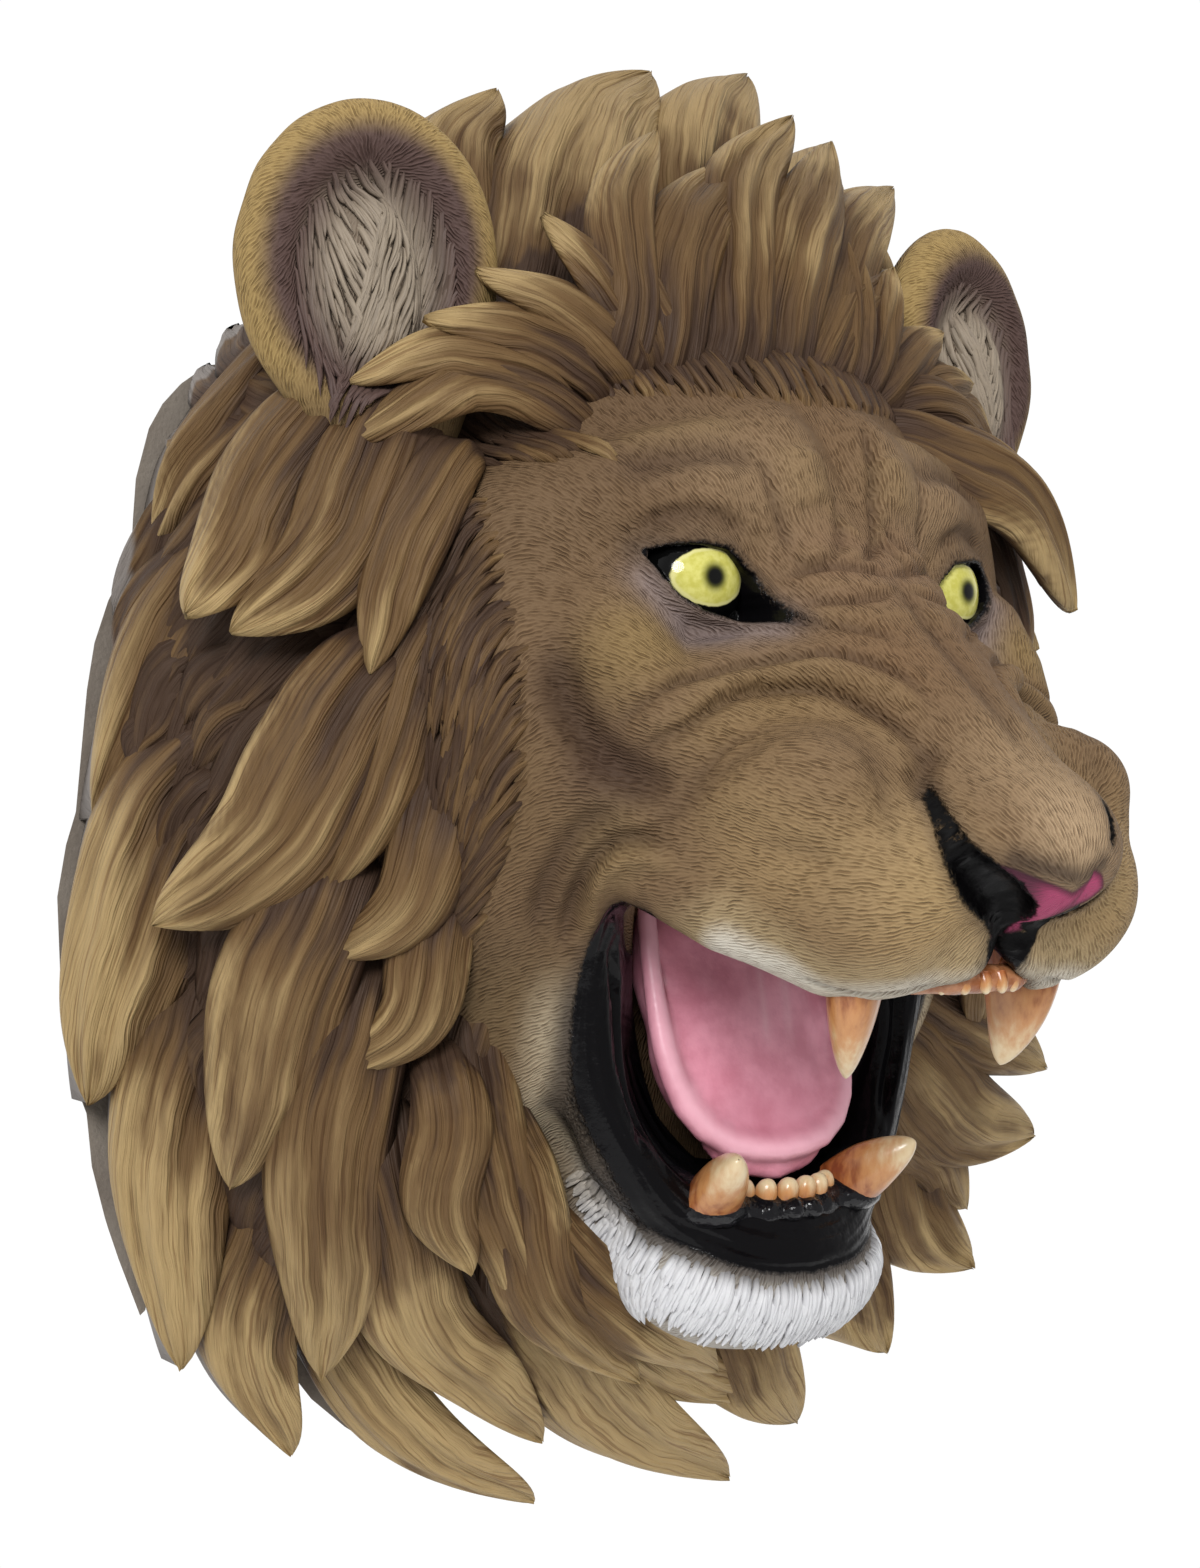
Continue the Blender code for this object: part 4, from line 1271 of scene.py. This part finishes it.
def add_teeth(material):
    """Four canines and the small teeth between them, as one mesh."""
    teeth = Hair()
    for side in (-1, 1):
        add_tooth(teeth, [(side * 27.5, 171, -38), (side * 27.5, 169, -54), (side * 26, 165, -69.5)],
                  11.0, 0.66, 1, side * 0.5, power=1.5)
        add_tooth(teeth, [(side * 23, 111, -106), (side * 25.5, 119, -100), (side * 30, 131, -92)],
                  8.0, 0.9, 2, side * 0.8, blunt=0.6, power=2.0)
        for index in range(3):
            angle = 0.16 + 0.33 * index
            x, out = side * 18.5 * math.sin(angle), 103 + 15 * math.cos(angle)
            add_tooth(teeth, [(x, out - 1, -108), (x, out + 0.5, -104), (x * 1.02, out + 2, -100)],
                      3.3, 0.9, index, blunt=0.5, power=4)
            x, out = side * 17 * math.sin(angle), 172 + 16 * math.cos(angle)
            add_tooth(teeth, [(x, out - 1, -44.5), (x, out, -47), (x, out + 0.2, -49.4)],
                      1.9, 0.9, index, blunt=0.5, power=3)
    points, faces = teeth.gathered()
    faces = face_up(points, faces)
    return make_piece("teeth", points, faces, material, {"along": np.concatenate(teeth.tone)})


def add_gums(lower_material, upper_material):
    """The gums that the teeth stand in."""
    def lower(p):
        q = folded(p)
        d = limb(q, [(30, 104, -102, 6), (20, 110, -108, 6.5), (10, 115, -109, 5.5),
                     (0, 116, -109.5, 5.5)])
        d = join(d, ball(q, (23, 113, -107), (9.5, 8, 5)), 2)
        for index in range(3):
            angle = 0.2 + 0.42 * index
            spot = (16 * math.sin(angle), 106 + 15 * math.cos(angle), -108)
            d = join(d, ball(q, spot, (3.2, 3.2, 3.0)), 1)
        return d

    def upper(p):
        return limb(folded(p), [(28, 168, -43, 6), (20, 176, -45, 4), (10, 184, -46, 3.4),
                                (0, 185, -46, 3.4)])

    for name, field, low, high, material in (
            ("lower_gum", lower, (0, 92, -124), (40, 130, -96), lower_material),
            ("upper_gum", upper, (0, 156, -56), (38, 196, -34), upper_material)):
        points, quads = field_mesh(field, low, high, 0.9, mirror=True)
        points, _ = settle(points, field)
        points = points + 0.25 * wave(31, *(points.T / 1.6))[:, None] * np.array([0, 0, 1])
        make_piece(name, points, face_up(points, quads.tolist()), material)


def fillers(base_points):
    """Low locks that fill the gaps between the big ones."""
    hair = Hair()
    points, normals = settle(base_points, head)
    side = np.abs(points[:, 0])
    wanted = (points[:, 1] > 34) & (points[:, 1] < 96)
    wanted &= (side > 84) | (points[:, 2] < -104)
    wanted &= ~((side < 40) & (points[:, 1] > 66) & (points[:, 2] < -90))
    starts, up = scatter(points, normals, wanted, 17, 61)
    grow(hair, starts, up, mane_flow, 40, 10.5, 3.0, 4000, rings=20, top=12, under=2,
         thick=0.4, tone=(-0.3, 0.3), edge_height=1.0, bury=6)
    return hair


def wisps(points, normals):
    """Thin strands where the face's fur grows over into the mane."""
    hair = Hair()
    x, out, z = points.T
    side = np.abs(x)
    band = (side > 84) & (side < 100) & (z < 96) & (z > -110) & (out > 62)
    band |= (side > 60) & (side < 92) & (z > 78) & (z < 104) & (out > 70)
    starts, up = scatter(points, normals, band, 4.8, 62)
    grow(hair, starts, up, flow_directions, 24, 2.1, 1.5, 6000, rings=9, tone=(-0.1, 0.45))
    band = (z > 96) & (z < 112) & (side < 74) & (out > 80)
    starts, up = scatter(points, normals, band, 3.6, 64)
    grow(hair, starts, up, flow_directions, 17, 1.5, 1.4, 7000, tone=(-0.1, 0.4))
    return hair


def chin_flow(points, normals):
    """Chin fur falls away from the lips."""
    away = points - np.array([0, 120, -70], dtype=np.float32)
    away[:, 2] -= 12
    away[:, 0] += 5 * wave(41, *(points.T / 6))
    return along_skin(away, normals)


def add_chin_fur(material, skin, normals):
    """White shaggy fur on the chin."""
    hair = Hair()
    x, out, z = skin.T
    edge = outline_distance(np.abs(x), z, LIP_OUTLINE)
    fringe = (edge < 13) & (black_distance(skin) > 1.2) & (out > 86)
    for wanted, gap, length, half, lift, seed in (
            (fringe & (z < -110), 2.1, 9.0, 1.0, 1.6, 8000),
            (fringe & (z > -111) & (z < -98), 1.9, 5.0, 0.7, 0.5, 9000)):
        starts, up = scatter(skin, normals, wanted, gap, seed)
        grow(hair, starts, up, chin_flow, length, half, lift, seed, steps=4, under=2,
             thick=0.75, edge_height=0.35)
    points, faces = hair.gathered()
    dark = smooth(black_distance(points), 6.5, 0.5)[:, None]
    side_on = (smooth(points[:, 2], -118, -98) * 0.8)[:, None]
    tint = np.array(paint(224, 224, 226)) * (1 - side_on) + np.array(paint(164, 150, 128)) * side_on
    tint = tint * (1 - dark) + np.array(paint(92, 88, 86)) * dark
    make_piece("chin_fur", points, face_up(points, faces), material,
               vectors={"strand": np.concatenate(hair.strand)}, colours={"tint": tint})


def relief_shade_map(groups):
    """How far each point stands out from what is around it, seen from behind the wall, and dimmed
    where other locks cover it: painted shade and highlight for the mane, partly the paint's wash.
    """
    everything = np.concatenate(groups)
    offset = everything - MANE_CORE
    reach = np.linalg.norm(offset, axis=-1)
    u = np.arctan2(offset[:, 0], offset[:, 1])
    v = np.arctan2(offset[:, 2], np.hypot(offset[:, 0], offset[:, 1]))
    cell = 0.010
    iu = np.round((u + 1.6) / cell).astype(int)
    iv = np.round((v + 1.6) / cell).astype(int)
    size = int(3.2 / cell) + 2
    top = np.full((size, size), -1.0)
    np.maximum.at(top, (iu, iv), reach)
    known = top > 0

    def blur(array, rounds):
        for _ in range(rounds):
            array = (array + np.roll(array, 1, 0) + np.roll(array, -1, 0)) / 3
            array = (array + np.roll(array, 1, 1) + np.roll(array, -1, 1)) / 3
        return array

    weight = np.maximum(blur(known.astype(float), 8), 1e-3)
    mean = blur(np.where(known, top, 0), 8) / weight
    # Points covered by other locks get painted shade
    covered = smooth(top[iu, iv] - reach, 1.5, 6.0)
    rise = np.clip(0.5 + (reach - mean[iu, iv]) / 14.0, 0, 1) * (1 - 0.8 * covered)
    counts = np.cumsum([len(g) for g in groups])[:-1]
    return np.split(rise, counts)


# The hanging slot's height, the room left round it, and the gap to the wall elsewhere
SLOT_HEIGHT = 125
SLOT_ROOM = 10
WALL_GAP = 0.5


def flat_back(points):
    """Stop everything just short of the wall, and leave room for the hanging slot."""
    x, out, z = points.T
    slot = (np.abs(x) < 9) & (np.abs(z - SLOT_HEIGHT) < 18)
    depth = np.where(slot, SLOT_ROOM, WALL_GAP)
    return np.stack([x, np.maximum(out, depth), z], -1)


def add_mane(material, base_points, base_quads, layers):
    """The mane's pieces, each shaded by how far it stands out from the rest."""
    base_points = flat_back(base_points)
    gathered = [hair.gathered() for hair in layers.values()]
    relief_shades = relief_shade_map([base_points] + [points for points, _ in gathered])
    bare = np.zeros(len(base_points))
    strand = np.stack([base_points[:, 0], base_points[:, 2], bare], -1)
    make_piece("mane_base", base_points, base_quads, material,
               {"relief": relief_shades[0] * 0.3, "tone": bare}, {"strand": strand})
    for (name, hair), (points, faces), relief in zip(layers.items(), gathered, relief_shades[1:]):
        points = flat_back(points)
        make_piece(name, points, face_up(points, faces), material,
                   {"relief": relief, "tone": np.concatenate(hair.tone)},
                   {"strand": np.concatenate(hair.strand)})


def add_back(material):
    """The flat back and its hanging slot, cut to the outline of the casting."""
    solid = bpy.data.objects[NODE].data
    points = np.zeros(3 * len(solid.vertices), dtype=np.float32)
    solid.vertices.foreach_get("co", points)
    points = points.reshape(-1, 3) / MM * OUT_TO_WORLD
    faces = []
    for polygon in solid.polygons:
        spots = points[list(polygon.vertices)]
        on_back = spots[:, 1].max() < 0.05
        in_slot = np.all((np.abs(spots[:, 0]) < 8) & (np.abs(spots[:, 2] - SLOT_HEIGHT) < 15)
                         & (spots[:, 1] < SLOT_ROOM - 0.5))
        if on_back or in_slot:
            faces.append(list(polygon.vertices))
    kept = sorted({index for face in faces for index in face})
    number = {index: place for place, index in enumerate(kept)}
    faces = [[number[index] for index in face] for face in faces]
    make_piece("flat_back", points[kept], faces, material)


# Floor, light and camera


def add_floor():
    """The floor, well below the mask."""
    mesh = bpy.data.meshes.new("floor")
    half, level = 0.9, -0.62
    mesh.from_pydata([(-half, -half, level), (half, -half, level), (half, half, level),
                      (-half, half, level)], [], [(0, 1, 2, 3)])
    mesh.materials.append(floor_material())
    floor = bpy.data.objects.new("floor", mesh)
    bpy.context.scene.collection.objects.link(floor)


ROOM_LEVEL, BACKDROP_LEVEL = 0.38, 1.02


def add_light(name, place, target, size, power, mirrored=False):
    """A soft round lamp, seen in glossy parts only where it is mirrored."""
    data = bpy.data.lights.new(name, "AREA")
    data.shape = "DISK"
    data.size = size
    data.energy = power
    light = bpy.data.objects.new(name, data)
    light.location = place
    light.visible_glossy = mirrored
    light.rotation_euler = (Vector(target) - Vector(place)).to_track_quat("-Z", "Y").to_euler()
    bpy.context.scene.collection.objects.link(light)


def add_stage():
    """Soft studio light, with the room darker behind the camera than in front of it."""
    add_floor()
    middle = (0.0, -0.08, 0.0)
    add_light("key", (-1.7, -1.75, 1.1), middle, 1.0, 60, mirrored=True)
    add_light("fill", (0.9, -1.9, 0.5), middle, 1.6, 16)
    add_light("top", (0.0, -0.3, 2.0), middle, 1.4, 6)
    world = bpy.data.worlds.new("studio")
    world.use_nodes = True
    nodes, links = world.node_tree.nodes, world.node_tree.links
    way = nodes.new("ShaderNodeTexCoord")
    split = nodes.new("ShaderNodeSeparateXYZ")
    level = nodes.new("ShaderNodeMapRange")
    level.inputs["From Min"].default_value = -0.3
    level.inputs["From Max"].default_value = 0.4
    level.inputs["To Min"].default_value = ROOM_LEVEL
    level.inputs["To Max"].default_value = BACKDROP_LEVEL
    links.new(way.outputs["Generated"], split.inputs[0])
    links.new(split.outputs["Y"], level.inputs["Value"])
    links.new(level.outputs["Result"], nodes["Background"].inputs["Strength"])
    nodes["Background"].inputs["Color"].default_value = (1.0, 1.0, 1.0, 1.0)
    bpy.context.scene.world = world


def add_camera():
    """The photo's view: level, 38 degrees to the lion's right."""
    data = bpy.data.cameras.new("camera")
    data.sensor_width = 36
    data.lens = 64.286
    camera = bpy.data.objects.new("camera", data)
    camera.location = (-0.4787, -0.6501, 0.0)
    camera.rotation_euler = (math.pi / 2, 0, math.radians(-38))
    bpy.context.scene.collection.objects.link(camera)
    bpy.context.scene.camera = camera


def corners(box):
    """A box's two corners as plain lists."""
    return [list(corner) for corner in box]


# Building everything

FUR = fur_material()
MANE = hair_material()
WHITE_FUR = white_fur_material()
EYE = eye_material()
SIDES = (("right", -1), ("left", 1))

face, skin_points, skin_normals = add_face(FUR)
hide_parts(NODE)
for side_name, side in SIDES:
    add_eye("eye_" + side_name, side, EYE)
for side_name, side in SIDES:
    add_ear("ear_" + side_name, side, FUR)
for side_name, side in SIDES:
    add_ear_fur("ear_fur_" + side_name, side, WHITE_FUR)
add_tongue(tongue_material())
add_teeth(tooth_material())
add_gums(gum_material(), palate_material())
add_chin_fur(WHITE_FUR, skin_points, skin_normals)

base_points, base_quads = field_mesh(base_field, (0, -8, -190), (140, 140, 196), 4.0, mirror=True)
add_mane(MANE, base_points, base_quads, {
    "mane_rim": big_locks(RIM_LOCKS, 200, 8, to_wall=True),
    "mane_locks": big_locks(TOP_LOCKS, 100, 13),
    "mane_fill": fillers(base_points),
    "face_wisps": wisps(skin_points, skin_normals),
})
add_back(back_material())
add_stage()
add_camera()
bpy.context.scene.view_settings.view_transform = "Standard"
